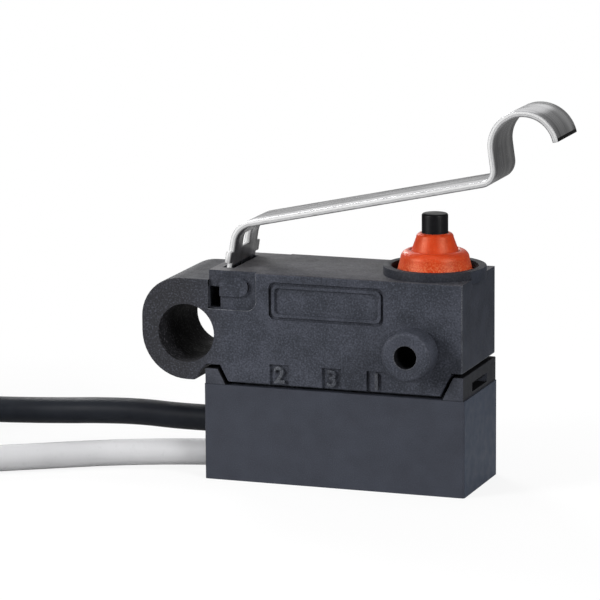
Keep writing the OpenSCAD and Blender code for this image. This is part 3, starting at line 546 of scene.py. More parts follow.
# Painted shade: the shaded share darkens the arm's top stretch.
SHEET_FINISH = Metal(
    "rolled_sheet_face", "lever_steel", (0.31, 0.31, 0.32), (0.67, 0.67, 0.68),
    roughness=0.22, streak=0.11, stretch=(0.06, 1, 0.06), depth=1.6, scuff=0.07, shaded=0.42,
)
SHEAR_FINISH = ShearedEdge(
    "sheared_sheet_edge", "lever_steel", bright=neutral(0.67), dull=(0.40, 0.40, 0.41),
    low_line=neutral(0.20), roughness=0.7,
)
# Painted shade: near black on the rolled end and on the foot's rim inside the case.
SHADED_BLACK_FINISH = Metal(
    "shaded_black_sheet", "lever_steel", neutral(0.010), neutral(0.018), roughness=0.7,
)
BRASS_FINISH = Metal(
    "terminal_brass_strip", "terminal_brass", (0.48, 0.31, 0.09), (0.64, 0.45, 0.16),
    roughness=0.3, streak=0.1, stretch=(1, 1, 0.1),
)
COPPER_FINISH = Metal(
    "spring_copper_strip", "spring_copper", (0.46, 0.21, 0.07), (0.62, 0.32, 0.12),
    roughness=0.28, streak=0.1, stretch=(0.1, 1, 1),
)
SILVER_FINISH = Metal(
    "contact_silver_alloy", "contact_silver", (0.62, 0.62, 0.59), (0.80, 0.80, 0.77),
    roughness=0.3, streak=0.2,
)
WIRE_FINISH = Metal(
    "drawn_spring_wire", "spring_steel", (0.30, 0.31, 0.32), (0.46, 0.47, 0.48),
    roughness=0.26, streak=0.05,
)
SOLDER_FINISH = Metal(
    "bright_solder", "solder", (0.44, 0.45, 0.47), (0.62, 0.63, 0.65),
    roughness=0.24, streak=0.3, depth=12.0,
)
TINNED_FINISH = Metal(
    "tinned_strands", "tinned_wire", (0.50, 0.51, 0.53), (0.68, 0.69, 0.71),
    roughness=0.3, streak=0.1,
)
BLACK_FINISH = Insulation(
    "black_insulation", "black_pvc", (0.006, 0.007, 0.010), (0.012, 0.014, 0.018),
    roughness=0.42, specular=0.1,
)
GREY_FINISH = Insulation(
    "grey_insulation", "grey_pvc", (0.45, 0.45, 0.46), (0.50, 0.50, 0.51),
    roughness=0.5, specular=0.25, milky=0.6,
)


def put(name: str, data: ID) -> Object:
    """Puts a mesh, a curve, a lamp or a camera into the scene.

    Args:
        name: Name of the object.
        data: What it shows.

    Returns:
        The new object.
    """
    made = bpy.data.objects.new(name, data)
    bpy.context.collection.objects.link(made)
    return made


def merged_copy(node: str) -> BMesh:
    """Copies a CAD node's mesh, with its loose triangles merged into whole faces.

    Args:
        node: Name of the CAD node.

    Returns:
        The new mesh.
    """
    bm = bmesh.new()
    bm.from_mesh(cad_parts[node].data)
    bmesh.ops.remove_doubles(bm, verts=bm.verts, dist=CAD_WELD)
    bmesh.ops.dissolve_limit(bm, angle_limit=FLAT_ANGLE, verts=bm.verts, edges=bm.edges)
    return bm


def spots(part: BMEdge | BMFace) -> list[Vector]:
    """Gives the points of an edge or a face in millimetres."""
    return [v.co / MM for v in part.verts]


def is_corner(edge: BMEdge, least: float = 35.0) -> bool:
    """Says whether an edge is an outer corner of at least so many degrees."""
    return len(edge.link_faces) == 2 and edge.calc_face_angle_signed() > math.radians(least)


def soften(
    bm: BMesh, wanted: Callable[[BMEdge], bool], width: float, segments: int = 3,
) -> list[BMFace]:
    """Rounds edges.

    Args:
        bm: The mesh.
        wanted: Says whether an edge is one of them.
        width: Width of the rounding in millimetres.
        segments: Faces across the rounding.

    Returns:
        The new faces.
    """
    made = bmesh.ops.bevel(
        bm, geom=[e for e in bm.edges if wanted(e)], offset=width * MM, offset_type="OFFSET",
        segments=segments, profile=0.5, affect="EDGES", clamp_overlap=True, material=-1,
    )
    bm.normal_update()
    return made["faces"]


def arc(centre: Pair, r: float, start: float, end: float, steps: int) -> list[Pair]:
    """Gives the points of an arc between two angles in degrees, both ends among them."""
    angles = [math.radians(start + (end - start) * i / steps) for i in range(steps + 1)]
    return [(centre[0] + r * math.cos(a), centre[1] + r * math.sin(a)) for a in angles]


def smooth_turn(start: Vector, knot: Vector, end: Vector, steps: int) -> list[Pair]:
    """Gives the points of a smooth bend round a knot, both ends among them."""
    shares = [i / steps for i in range(steps + 1)]
    return [tuple(start.lerp(knot, t).lerp(knot.lerp(end, t), t)) for t in shares]


def finish_piece(
    bm: BMesh, name: str, finishes: Sequence[Finish], body: Body | None,
    stands_for: Sequence[str] = (), crease: float = 32.0, moulded: bool = False,
) -> Object:
    """Makes a mesh into a dressed object that rides on its body.

    Args:
        bm: The mesh, which is freed.
        name: Name of the piece.
        finishes: Finishes in the order of the mesh's material numbers.
        body: Body that carries it, or None for a piece that rides on no body.
        stands_for: CAD nodes that the piece takes the place of.
        crease: Angle in degrees past which an edge stays sharp.
        moulded: Whether its large faces stay flat beside rounded edges.

    Returns:
        The new object.
    """
    bm.normal_update()
    for face in bm.faces:
        face.smooth = True
    for edge in bm.edges:
        edge.smooth = len(edge.link_faces) == 2 and edge.calc_face_angle() < math.radians(crease)
    mesh = bpy.data.meshes.new(name)
    bm.to_mesh(mesh)
    bm.free()
    old_normals = mesh.attributes.get("custom_normal")
    if old_normals is not None:
        mesh.attributes.remove(old_normals)
    piece = put(name, mesh)
    if moulded:
        piece.modifiers.new("flat_faces", "WEIGHTED_NORMAL").keep_sharp = True
    for finish in finishes:
        mesh.materials.append(finish.material())
    if stands_for:
        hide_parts(*stands_for)
    if body is not None:
        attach(piece, body.value)
    LOG.info("%s: %d faces", name, len(mesh.polygons))
    return piece


def follow_plunger(piece: Object, start: Point, end: Point) -> None:
    """Bakes a piece's placement into its mesh; the two points in millimetres, from the case to the
    plunger, change nothing.
    """
    ends = (Vector(point) * MM for point in (start, end))
    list(ends)
    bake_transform(piece)


def dress_node(node: str, finish: Finish) -> None:
    """Gives a CAD node that stays in view its finish.

    Args:
        node: Name of the CAD node.
        finish: Its finish.
    """
    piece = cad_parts[node]
    piece.data.materials.clear()
    piece.data.materials.append(finish.material())
    LOG.info("%s: dressed", node)


@dataclass(frozen=True)
class SoftBox:
    """One lamp of the studio."""

    name: str
    place: Point
    aim: Point
    size: Pair
    watts: float

    def build(self) -> None:
        """Hangs the lamp."""
        lamp = bpy.data.lights.new(self.name, "AREA")
        lamp.shape = "RECTANGLE"
        lamp.size, lamp.size_y = self.size
        lamp.energy = self.watts
        holder = put(self.name, lamp)
        holder.location = self.place
        beam = Vector(self.aim) - Vector(self.place)
        holder.rotation_euler = beam.to_track_quat("-Z", "Y").to_euler()


@dataclass
class Studio:
    """Camera, pale floor and soft light."""

    azimuth: float = 19.82
    elevation: float = 11.34
    roll: float = -0.42
    distance: float = 200.0
    focal_px: float = 4091.9
    target: Point = (-2.60, 0.0, 8.65)
    sensor: float = 36.0
    clip: Pair = (0.005, 20.0)
    floor_half: float = 1.2
    floor_middle: Point = (0.0, -0.013, 0.0)
    floor_greys: Pair = (0.80, 0.83)
    light_pool_reach: Pair = (0.022, 0.05)
    light_pool_levels: Pair = (0.5, 0.06)
    floor_glow: Pair = (0.85, 1.0)
    mirrored_glow: float = 0.1
    backdrop_way: Point = (-0.38, 0.80, 0.46)
    surround_levels: tuple[Pair, ...] = (
        (0.0, 0.09), (0.80, 0.10), (0.85, 0.16), (0.953, 0.25), (0.972, 1.1),
    )
    boxes: tuple[SoftBox, ...] = (
        SoftBox("overhead_box", (0.0, -0.04, 0.36), (0, 0, 0.006), (0.30, 0.24), 0.48),
        SoftBox("left_box", (-0.25, -0.23, 0.13), (0, 0, 0.008), (0.12, 0.18), 1.28),
        SoftBox("right_box", (0.30, -0.155, 0.15), (0, 0, 0.008), (0.10, 0.22), 1.1),
        SoftBox("back_box", (-0.28, 0.28, 0.22), (0, 0, 0.01), (0.14, 0.16), 1.1),
    )

    def camera(self) -> None:
        """Places the camera at the photograph's viewing angle."""
        a, e, r = (math.radians(x) for x in (self.azimuth, self.elevation, self.roll))
        back = Vector((math.sin(a) * math.cos(e), -math.cos(a) * math.cos(e), math.sin(e)))
        right = Vector((math.cos(a), math.sin(a), 0))
        up = back.cross(right)
        turned_right = right * math.cos(r) + up * math.sin(r)
        turned_up = up * math.cos(r) - right * math.sin(r)
        data = bpy.data.cameras.new("view_camera")
        data.sensor_width = self.sensor
        data.lens = self.focal_px / IMAGE_PX * self.sensor
        data.clip_start, data.clip_end = self.clip
        camera = put("view_camera", data)
        axes = Matrix((turned_right, turned_up, back)).transposed().to_4x4()
        place = (Vector(self.target) + back * self.distance) * MM
        camera.matrix_world = Matrix.Translation(place) @ axes
        bpy.context.scene.camera = camera

    def show_white(self, graph: Graph, white: str, level: NodeSocket | float, output: str) -> None:
        """Lets the eye see white where light falls on a plain shader, and mirrors some of it.

        Args:
            graph: Node tree of the floor or the world.
            white: Kind of the node that gives the white.
            level: Share of white that the camera sees.
            output: Name of the tree's output node.
        """
        eye, glossy, clear = (
            graph.add("LightPath", f"Is {ray} Ray", {}) for ray in ("Camera", "Glossy", "Transmission")
        )
        mirrored = graph.times(graph.plus(glossy, clear), self.mirrored_glow)
        share = graph.plus(graph.times(eye, level), mirrored)
        glow = graph.add(white, 0, {"Color": (1, 1, 1, 1), "Strength": 1.0})
        mix = graph.add("MixShader", 0, {"Fac": share, 1: graph.shader.outputs[0], 2: glow})
        graph.join(mix, graph.nodes[output].inputs["Surface"])

    def pale_stage(self) -> Material:
        """Makes the floor's material, which is white to the eye and keeps the shadow, and which shows
        reflections and bounced light a painted pool of light round the switch that darkens further
        off.

        Returns:
            The material.
        """
        stage = bpy.data.materials.new("pale_floor")
        graph = Graph(stage)
        # Painted light: to reflections and bounced light the floor is a pale pool round the switch
        # that darkens further away.
        off = graph.away(graph.place(), self.floor_middle)
        away = graph.spread(off, self.light_pool_reach, UNIT)
        greys = [neutral(level) for level in self.floor_greys]
        pale = graph.shade(graph.noise(size=90.0, detail=2.0), list(zip(MIDDLE, greys)))
        level = graph.spread(away, UNIT, self.light_pool_levels)
        unseen = graph.spread(graph.add("LightPath", "Is Camera Ray", {}), UNIT, (1.0, 0.0))
        graph.feed({
            "Base Color": graph.tint(pale, level, unseen),
            "Roughness": 0.9,
            "Specular IOR Level": 0.0,
        })
        glow = graph.spread(away, UNIT, self.floor_glow)
        self.show_white(graph, "Emission", glow, "Material Output")
        return stage

    def floor(self) -> None:
        """Lays the pale floor that the switch stands on."""
        bm = bmesh.new()
        bmesh.ops.create_grid(bm, x_segments=2, y_segments=2, size=self.floor_half)
        mesh = bpy.data.meshes.new("pale_floor")
        bm.to_mesh(mesh)
        bm.free()
        mesh.materials.append(self.pale_stage())
        put("pale_floor", mesh)

    def surround(self) -> None:
        """Fills the studio with soft light, bright towards the backdrop and dim to the sides."""
        world = bpy.data.worlds.new("soft_surround")
        bpy.context.scene.world = world
        graph = Graph(world)
        way = Vector(self.backdrop_way).normalized()
        facing = graph.along(graph.add("TexCoord", "Generated", {}), way)
        stops = [(place, neutral(level)) for place, level in self.surround_levels]
        graph.feed({"Color": graph.shade(graph.spread(facing, (-1.0, 1.0), UNIT), stops)})
        self.show_white(graph, "Background", 1.0, "World Output")

    def build(self) -> None:
        """Sets up camera, floor and light."""
        bpy.context.scene.view_settings.view_transform = "Standard"
        self.camera()
        self.floor()
        self.surround()
        for box in self.boxes:
            box.build()


@dataclass(frozen=True)
class Lead:
    """One insulated lead: out of the cover, along the floor, into its coil and out to a bare tip."""

    stem: str
    finish: Finish
    route: tuple[Point, ...]
    coil_r: float
    low_layer: float
    turns_out: float
    tail: tuple[Point, ...]
    tip_way: Point
    length: float
    diameter: float = 1.3
    coil_at: Pair = (-32.6, 4.5)
    turns_in: int = 3
    rise_share: float = 1 / 6
    points_a_turn: int = 24
    strip: float = 4.0
    strands: int = 6
    strand_r: float = 0.098
    strand_sides: int = 8
    strand_steps: int = 20
    twist: float = 1.6

    def coil(self) -> list[Point]:
        """Winds the coil: in along the lower layer, up, and out along the upper one.

        Returns:
            Its points in millimetres.
        """
        total = self.turns_in + self.turns_out
        count = round(total * self.points_a_turn)
        points = []
        for i in range(1, count):
            turn = total * i / count
            inward = min(turn, 2 * self.turns_in - turn)
            r = self.coil_r - self.diameter * inward
            way = min(max((turn - self.turns_in) / (2 * self.rise_share) + 0.5, 0), 1)
            z = self.low_layer + self.diameter * way * way * (3 - 2 * way)
            a = -math.pi / 2 - math.tau * turn
            points.append((self.coil_at[0] + r * math.cos(a), self.coil_at[1] + r * math.sin(a), z))
        return points

    def cord(self) -> Object:
        """Draws the lead as one open curve.

        Returns:
            The lead's piece.
        """
        name = f"{self.stem}_cord"
        points = [*self.route, *self.coil(), *self.tail]
        data = bpy.data.curves.new(name, "CURVE")
        data.dimensions = "3D"
        data.bevel_depth = self.diameter / 2 * MM
        data.bevel_resolution = 5
        data.resolution_u = 6
        data.use_fill_caps = True
        spline = data.splines.new("BEZIER")
        spline.bezier_points.add(len(points) - 1)
        for knot, point in zip(spline.bezier_points, points):
            knot.co = Vector(point) * MM
            knot.handle_left_type = knot.handle_right_type = "AUTO"
        data.materials.append(self.finish.material())
        piece = put(name, data)
        return piece

    def strand(self, bm: BMesh, r: float, a: float) -> None:
        """Twists one bare strand.

        Args:
            bm: The mesh that it is added to.
            r: Its distance from the middle in millimetres.
            a: Angle at which it starts.
        """
        ring = bmesh.ops.create_circle(
            bm, cap_ends=False, segments=self.strand_sides, radius=self.strand_r * MM,
        )["verts"]
        bmesh.ops.translate(bm, verts=ring, vec=(r * MM * math.cos(a), r * MM * math.sin(a), 0))
        edges = list({e for v in ring for e in v.link_edges})
        bmesh.ops.contextual_create(bm, geom=edges)
        made = bmesh.ops.spin(
            bm, geom=ring + edges, cent=(0, 0, 0), axis=(0, 0, 1),
            angle=math.tau * self.strip / self.twist, dvec=(0, 0, self.strip / self.strand_steps * MM),
            steps=self.strand_steps, use_merge=False,
        )
        last = [e for e in made["geom_last"] if isinstance(e, BMEdge)]
        bmesh.ops.contextual_create(bm, geom=last)

    def tip(self) -> Object:
        """Lays the bare strands round a middle one at the lead's end.

        Returns:
            The tip's piece.
        """
        bm = bmesh.new()
        for i in range(self.strands):
            self.strand(bm, 2 * self.strand_r, math.tau * i / self.strands)
        self.strand(bm, 0.0, 0.0)
        bmesh.ops.recalc_face_normals(bm, faces=bm.faces)
        turn = Vector((0, 0, 1)).rotation_difference(Vector(self.tip_way)).to_matrix()
        bmesh.ops.rotate(bm, cent=(0, 0, 0), matrix=turn, verts=bm.verts)
        bmesh.ops.translate(bm, verts=bm.verts, vec=Vector(self.tail[-1]) * MM)
        name, node = f"{self.stem}_strands", f"{self.stem}_tip"
        return finish_piece(bm, name, [TINNED_FINISH], Body.SWITCH, [node], crease=60.0)

    def build(self, ties: Object) -> None:
        """Args:
            ties: The bands round the coils; not used.
        """
        piece = self.cord()
        tip = self.tip()
        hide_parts(f"{self.stem}_lead", f"{self.stem}_coil", f"{self.stem}_tail")
        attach(piece, Body.SWITCH.value)
        LOG.info("%s: cord of %.0f mm", piece.name, self.length)
        dress_node(f"{self.stem}_root", self.finish)
        dress_node(f"{self.stem}_core", TINNED_FINISH)


@dataclass
class LeadPair:
    """The two leads, their bands and what is left of them inside the cover."""

    band_round: float = 0.05
    band_corner: float = 60.0
    grey: Lead = Lead(
        stem="grey",
        finish=GREY_FINISH,
        route=(
            (-6.65, -1.2, 1.0), (-8.4, -1.25, 0.9), (-10.3, -1.5, 0.8), (-12.2, -2.0, 0.72),
            (-14.2, -3.0, 0.69), (-16.2, -4.2, 0.69), (-18.3, -5.3, 0.68), (-20.6, -6.0, 0.68),
            (-23.2, -6.1, 0.68), (-26.2, -5.6, 0.7), (-29.4, -4.9, 0.8), (-32.6, -4.5, 0.85),
        ),
        coil_r=9.0,
        low_layer=0.85,
        turns_out=3.0,
        tail=(
            (-32.6, -4.5, 2.15), (-34.6, -4.5, 2.1), (-36.6, -4.8, 1.5), (-38.6, -5.2, 0.8),
            (-40.2, -5.3, 0.68), (-41.6, -5.3, 0.68),
        ),
        tip_way=(-1, 0, 0),
        length=302.0,
    )
    black: Lead = Lead(
        stem="black",
        finish=BLACK_FINISH,
        route=(
            (-6.65, -1.2, 2.7), (-8.6, -1.2, 2.7), (-10.6, -1.2, 2.75), (-12.6, -1.2, 2.68),
            (-14.6, -1.2, 2.54), (-16.6, -1.3, 2.44), (-18.6, -1.6, 2.42), (-20.8, -2.2, 2.55),
            (-23.2, -3.0, 2.95), (-25.6, -3.65, 3.38), (-28.4, -4.0, 3.47), (-32.6, -4.1, 3.47),
        ),
        coil_r=8.6,
        low_layer=3.45,
        turns_out=3.25,
        tail=(
            (-41.5, 4.5, 4.75), (-41.6, 6.5, 4.6), (-42.0, 8.5, 3.7), (-42.6, 10.4, 2.2),
            (-43.0, 12.2, 1.0), (-43.1, 13.6, 0.68), (-43.1, 14.6, 0.68),
        ),
        tip_way=(0, 1, 0),
        length=303.0,
    )

    def build(self) -> None:
        """Makes the bands and both leads."""
        bands = merged_copy("coil_ties")
        soften(bands, lambda e: is_corner(e, self.band_corner), self.band_round, 2)
        ties = finish_piece(bands, "coil_bands", [TIE_FINISH], Body.SWITCH, ["coil_ties"])
        self.black.build(ties)
        self.grey.build(ties)


@dataclass(frozen=True)
class Zone:
    """Region in millimetres that picks edges and faces of a moulding.

    Attributes:
        x: Range along X.
        y: Range of the distance from the middle along Y.
        z: Range along Z.
        centre: Point on the axis of a round region.
        across: Axes that count for the distance from that axis.
        r: Radius of the round region.
        facing: Direction in which a face of the region looks, where that counts.
        least: How straight it looks that way, 1 at the most.
    """

    x: Pair = ANYWHERE
    y: Pair = ANYWHERE
    z: Pair = ANYWHERE
    centre: Point = (0, 0, 0)
    across: Point = (1, 0, 1)
    r: float = math.inf
    facing: Point | None = None
    least: float = 0.9

    def holds(self, part: BMEdge | BMFace) -> bool:
        """Says whether an edge or a face is wholly inside and looks the right way.

        Args:
            part: The edge or the face.

        Returns:
            True where it is and does.
        """
        if self.facing is not None and part.normal.dot(Vector(self.facing)) <= self.least:
            return False
        for p in spots(part):
            ranges = zip((p.x, abs(p.y), p.z), (self.x, self.y, self.z))
            off = (p - Vector(self.centre)) * Vector(self.across)
            if off.length >= self.r or not all(low < c < high for c, (low, high) in ranges):
                return False
        return True


@dataclass
class Housing:
    """Case, base and cover with moulded edges, and the terminal digits."""

    front: float = -2.65
    wall_least: float = 1.0
    case_round: float = 0.07
    base_round: float = 0.04
    cover_round: float = 0.05
    rim_round: float = 0.05
    pocket_round: float = 0.08
    pocket_depth: float = 0.2
    depth_near: float = 0.02
    collar_corner: float = 60.0
    highlit_rim: Pair = (-4.4, 9.0)
    digits: tuple[tuple[str, float], ...] = (("2", -2.75), ("3", -0.06), ("1", 2.22))
    digit_low: float = 5.05
    digit_size: float = 1.12
    digit_back: float = -2.52
    digit_swell: float = 0.02
    digit_round: float = 0.008
    flat_sides: Zone = Zone(y=(2.64, 2.66))
    end_wall: Zone = Zone(x=(6.5, math.inf), facing=(1, 0, 0))
    highlit_end: Zone = Zone(x=(6.3, math.inf))
    joint_line: Zone = Zone(facing=(0, 0, 1), least=0.3)
    ear_hole: Zone = Zone(centre=(-7.56, 0, 7.22), r=1.48)
    core_rim: Zone = Zone(y=(3.99, 4.01), centre=(4.11, 0, 7.01), r=0.59)
    collar_rim: Zone = Zone(z=(10.4, math.inf), centre=(4.33, 0, 0), across=(1, 1, 0), r=2.55)
    pocket_rim: Zone = Zone(x=(-math.inf, -3.1), y=(2.64, 2.66), z=(8.3, math.inf))
    # Painted shade on the end wall, collar, bores and pits, and painted light on the top face.
    case_marks: tuple[tuple[CaseFace, Zone], ...] = (
        (CaseFace.SHADED_END, end_wall),
        (CaseFace.SHADED_COLLAR, Zone(z=(10.2, math.inf), centre=(4.33, 0, 0), across=(1, 1, 0), r=2.55)),
        (CaseFace.BORE, ear_hole),
        (CaseFace.SHADED_PIT, Zone(centre=(4.11, 0, 7.01), r=0.59)),
        (CaseFace.SHADED_PIT, Zone(x=(-math.inf, -5.9), y=(-math.inf, 1.4), z=(-math.inf, 5.45))),
        (CaseFace.SHADED_PIT, Zone(x=(5.9, math.inf), y=(-math.inf, 1.4), z=(-math.inf, 5.45))),
        (CaseFace.SHADED_PIT, Zone((-math.inf, -3.1), (2.44, math.inf), (8.2, math.inf), facing=(1, 0, 0))),
        (CaseFace.LIT_TOP, Zone(z=(10.38, 10.42), facing=(0, 0, 1))),
    )

    def wall_depth(self, edge: BMEdge) -> float:
        """Gives how far the deeper of an edge's two faces reaches along Y, in millimetres."""
        depths = [[p.y for p in spots(face)] for face in edge.link_faces]
        return max(max(ys) - min(ys) for ys in depths)

    def is_outline(self, edge: BMEdge) -> bool:
        """Says whether an edge is on the outline of the front or back face."""
        outer = is_corner(edge) and not any(self.ear_hole.holds(f) for f in edge.link_faces)
        return outer and self.flat_sides.holds(edge) and self.wall_depth(edge) > self.wall_least

    def is_pocket_rim(self, edge: BMEdge) -> bool:
        """Says whether an edge is on the rim of a hinge pocket, in the front or back face."""
        rim = is_corner(edge) and self.pocket_rim.holds(edge)
        return rim and abs(self.wall_depth(edge) - self.pocket_depth) < self.depth_near

    def is_core_rim(self, edge: BMEdge) -> bool:
        """Says whether an edge is on the rim of the core hole in the locating post."""
        return is_corner(edge) and self.core_rim.holds(edge)

    def is_collar_rim(self, edge: BMEdge) -> bool:
        """Says whether an edge is on the top rim of the collar round the boot."""
        return is_corner(edge, self.collar_corner) and self.collar_rim.holds(edge)

    def on_highlit_rim(self, face: BMFace) -> bool:
        """Says whether a face of a pocket's rounded rim is on its lower or right side, which gets a
        painted highlight.
        """
        middle = face.calc_center_median() / MM
        return middle.x > self.highlit_rim[0] or middle.z < self.highlit_rim[1]

    def marked_copy(self, node: str, marks: Sequence[tuple[int, Zone]]) -> BMesh:
        """Copies a CAD node's mesh and numbers its faces for their finishes.

        Args:
            node: Name of the CAD node.
            marks: Material numbers and their zones. The first that holds a face counts, or else 0.

        Returns:
            The new mesh.
        """
        bm = merged_copy(node)
        for face in bm.faces:
            face.material_index = next((number for number, zone in marks if zone.holds(face)), 0)
        return bm

    def case(self) -> None:
        """Rounds the edges of the case, paints shade on its end wall, bores, pits and collar, paints
        light on its top, and lightens some rounded edges with rubbed wear and painted highlights.
        """
        bm = self.marked_copy("case", self.case_marks)
        # Rubbed wear and painted highlight on the rounded edges of the right end, the pockets' rims
        # and the post's hole.
        for face in soften(bm, self.is_outline, self.case_round):
            if self.highlit_end.holds(face):
                face.material_index = CaseFace.RUBBED_HIGHLIT
        for face in soften(bm, self.is_pocket_rim, self.pocket_round, 2):
            face.material_index = CaseFace.HIGHLIGHT_RIM if self.on_highlit_rim(face) else CaseFace.RUBBED_HIGHLIT
        for face in soften(bm, self.is_core_rim, self.rim_round, 2):
            face.material_index = CaseFace.RUBBED_HIGHLIT
        soften(bm, self.is_collar_rim, self.rim_round, 2)
        finishes = [
            CASE_FINISH, SMOOTH_SHADED_END_FINISH, SHADED_COLLAR_FINISH, BORE_FINISH, SHADED_PIT_FINISH, RUBBED_HIGHLIT_FINISH,
            LIT_TOP_FINISH, HIGHLIGHT_RIM_FINISH,
        ]
        finish_piece(bm, "case_shell", finishes, Body.SWITCH, ["case"], moulded=True)

    def base(self) -> None:
        """Rounds the edges of the base and paints shade on its faces in the joint line and on its end
        wall.
        """
        bm = self.marked_copy("base", ((2, self.end_wall), (1, self.joint_line)))
        soften(bm, self.is_outline, self.base_round)
        finishes = [BASE_FINISH, SHADED_PIT_FINISH, SMOOTH_SHADED_BASE_END_FINISH]
        finish_piece(bm, "base_plate", finishes, Body.SWITCH, ["base"], moulded=True)

    def cover(self) -> None:
        """Rounds the edges of the terminal cover and paints a reflection on its end wall."""
        node = "terminal_cover"
        bm = self.marked_copy(node, ((1, self.end_wall),))
        soften(bm, self.is_outline, self.cover_round)
        finishes = [COVER_FINISH, SMOOTH_LIT_COVER_END_FINISH]
        finish_piece(bm, f"{node}_shell", finishes, Body.SWITCH, [node], moulded=True)

    def numerals(self) -> None:
        """Raises the plain digits that mark the terminals."""
        bm = bmesh.new()
        stand = Matrix.Rotation(math.pi / 2, 4, "X")
        middle = (self.front + self.digit_back) / 2
        for text, x in self.digits:
            data = bpy.data.curves.new("digit", "FONT")
            data.body = text
            data.align_x = "CENTER"
            data.size = self.digit_size * MM
            data.extrude = (self.front - self.digit_back) / -2 * MM
            data.offset = self.digit_swell * MM
            data.bevel_depth = self.digit_round * MM
            data.bevel_resolution = 1
            data.resolution_u = 6
            maker = put("digit", data)
            bpy.context.view_layer.update()
            ready = maker.evaluated_get(bpy.context.evaluated_depsgraph_get())
            mesh = bpy.data.meshes.new_from_object(ready)
            mesh.transform(Matrix.Translation(Vector((x, middle, self.digit_low)) * MM) @ stand)
            bm.from_mesh(mesh)
            bpy.data.objects.remove(maker)
            bpy.data.meshes.remove(mesh)
        bmesh.ops.remove_doubles(bm, verts=bm.verts, dist=FINE_WELD)
        finish_piece(bm, "terminal_digits", [RUBBED_HIGHLIT_FINISH], Body.SWITCH)

    def build(self) -> None:
        """Makes the moulded pieces."""
        self.case()
        self.base()
        self.cover()
        self.numerals()
        dress_node("potting", RESIN_FINISH)


@dataclass
class SealBoot:
    """Rubber boot round the plunger."""

    x: float = 4.33
    seat: float = 10.25
    top: float = 12.4
    foot: float = 0.2
    flange_r: float = 2.07
    skirt_r: float = 1.8
    flare: float = 0.2
    crest: Pair = (1.26, 11.565)
    curl: float = 0.41
    crest_turn: float = 92.0
    crest_steps: int = 18
    waist: Pair = (1.165, 11.47)
    waist_round: float = 0.42
    lip_r: float = 0.91
    lip_round: float = 0.23
    wall: float = 0.25
    grip_r: float = 0.66
    grip: float = 0.3
    bend_steps: int = 6
    sides: int = 96

    def outer(self) -> list[Pair]:
        """Draws the outer skin from the flange over the shoulder to the lip.

        Returns:
            Radius and height of its points in millimetres.
        """
        foot_z = self.seat + self.foot
        flare_at = (self.skirt_r + self.flare, foot_z + self.flare)
        crest_at = (self.crest[0], self.crest[1] - self.curl)
        lip_at = (self.lip_r - self.lip_round, self.top - self.lip_round)
        shoulder = arc(crest_at, self.curl, 0, self.crest_turn, self.crest_steps)
        lip = arc(lip_at, self.lip_round, 0, 90, self.bend_steps)
        knot = Vector(self.waist)
        start, end = (knot.lerp(Vector(p), self.waist_round) for p in (shoulder[-1], lip[0]))
        return [
            (self.flange_r, self.seat), (self.flange_r, foot_z),
            *arc(flare_at, self.flare, 270, 180, self.bend_steps),
            *shoulder,
            *smooth_turn(start, knot, end, self.bend_steps),
            *lip,
        ]

    def inner(self) -> list[Pair]:
        """Draws the inner skin from the lip back to the flange.

        Returns:
            Radius and height of its points in millimetres.
        """
        skirt_in = self.skirt_r - self.wall
        return [
            (self.grip_r, self.top), (self.grip_r, self.top - self.grip),
            (self.waist[0] - self.wall, self.waist[1] - self.wall),
            (self.crest[0], self.crest[1] - self.wall),
            (skirt_in, self.seat + self.foot + self.flare), (skirt_in, self.seat),
        ]

    def build(self) -> None:
        """Turns the boot's section and bakes it in place."""
        bm = bmesh.new()
        section = [*self.outer(), *self.inner()]
        points = [bm.verts.new((r * MM, 0, z * MM)) for r, z in section]
        edges = [bm.edges.new(pair) for pair in zip(points, [*points[1:], points[0]])]
        bmesh.ops.spin(
            bm, geom=points + edges, cent=(0, 0, 0), axis=(0, 0, 1), angle=math.tau,
            steps=self.sides, use_merge=True,
        )
        bmesh.ops.remove_doubles(bm, verts=bm.verts, dist=FINE_WELD)
        bmesh.ops.recalc_face_normals(bm, faces=bm.faces)
        bmesh.ops.translate(bm, verts=bm.verts, vec=(self.x * MM, 0, 0))
        piece = finish_piece(bm, "rubber_boot", [BOOT_FINISH], None, ["boot"], crease=50.0)
        follow_plunger(piece, (self.x, 0, self.seat + self.foot), (self.x, 0, self.top))


@dataclass
class PlungerPin:
    """Black plunger with a rounded top."""

    def build(self) -> None:
        """Smooths the plunger's solid."""
        bm = merged_copy("plunger")
        finish_piece(bm, "plunger_pin", [PLUNGER_FINISH], Body.PLUNGER, ["plunger"])


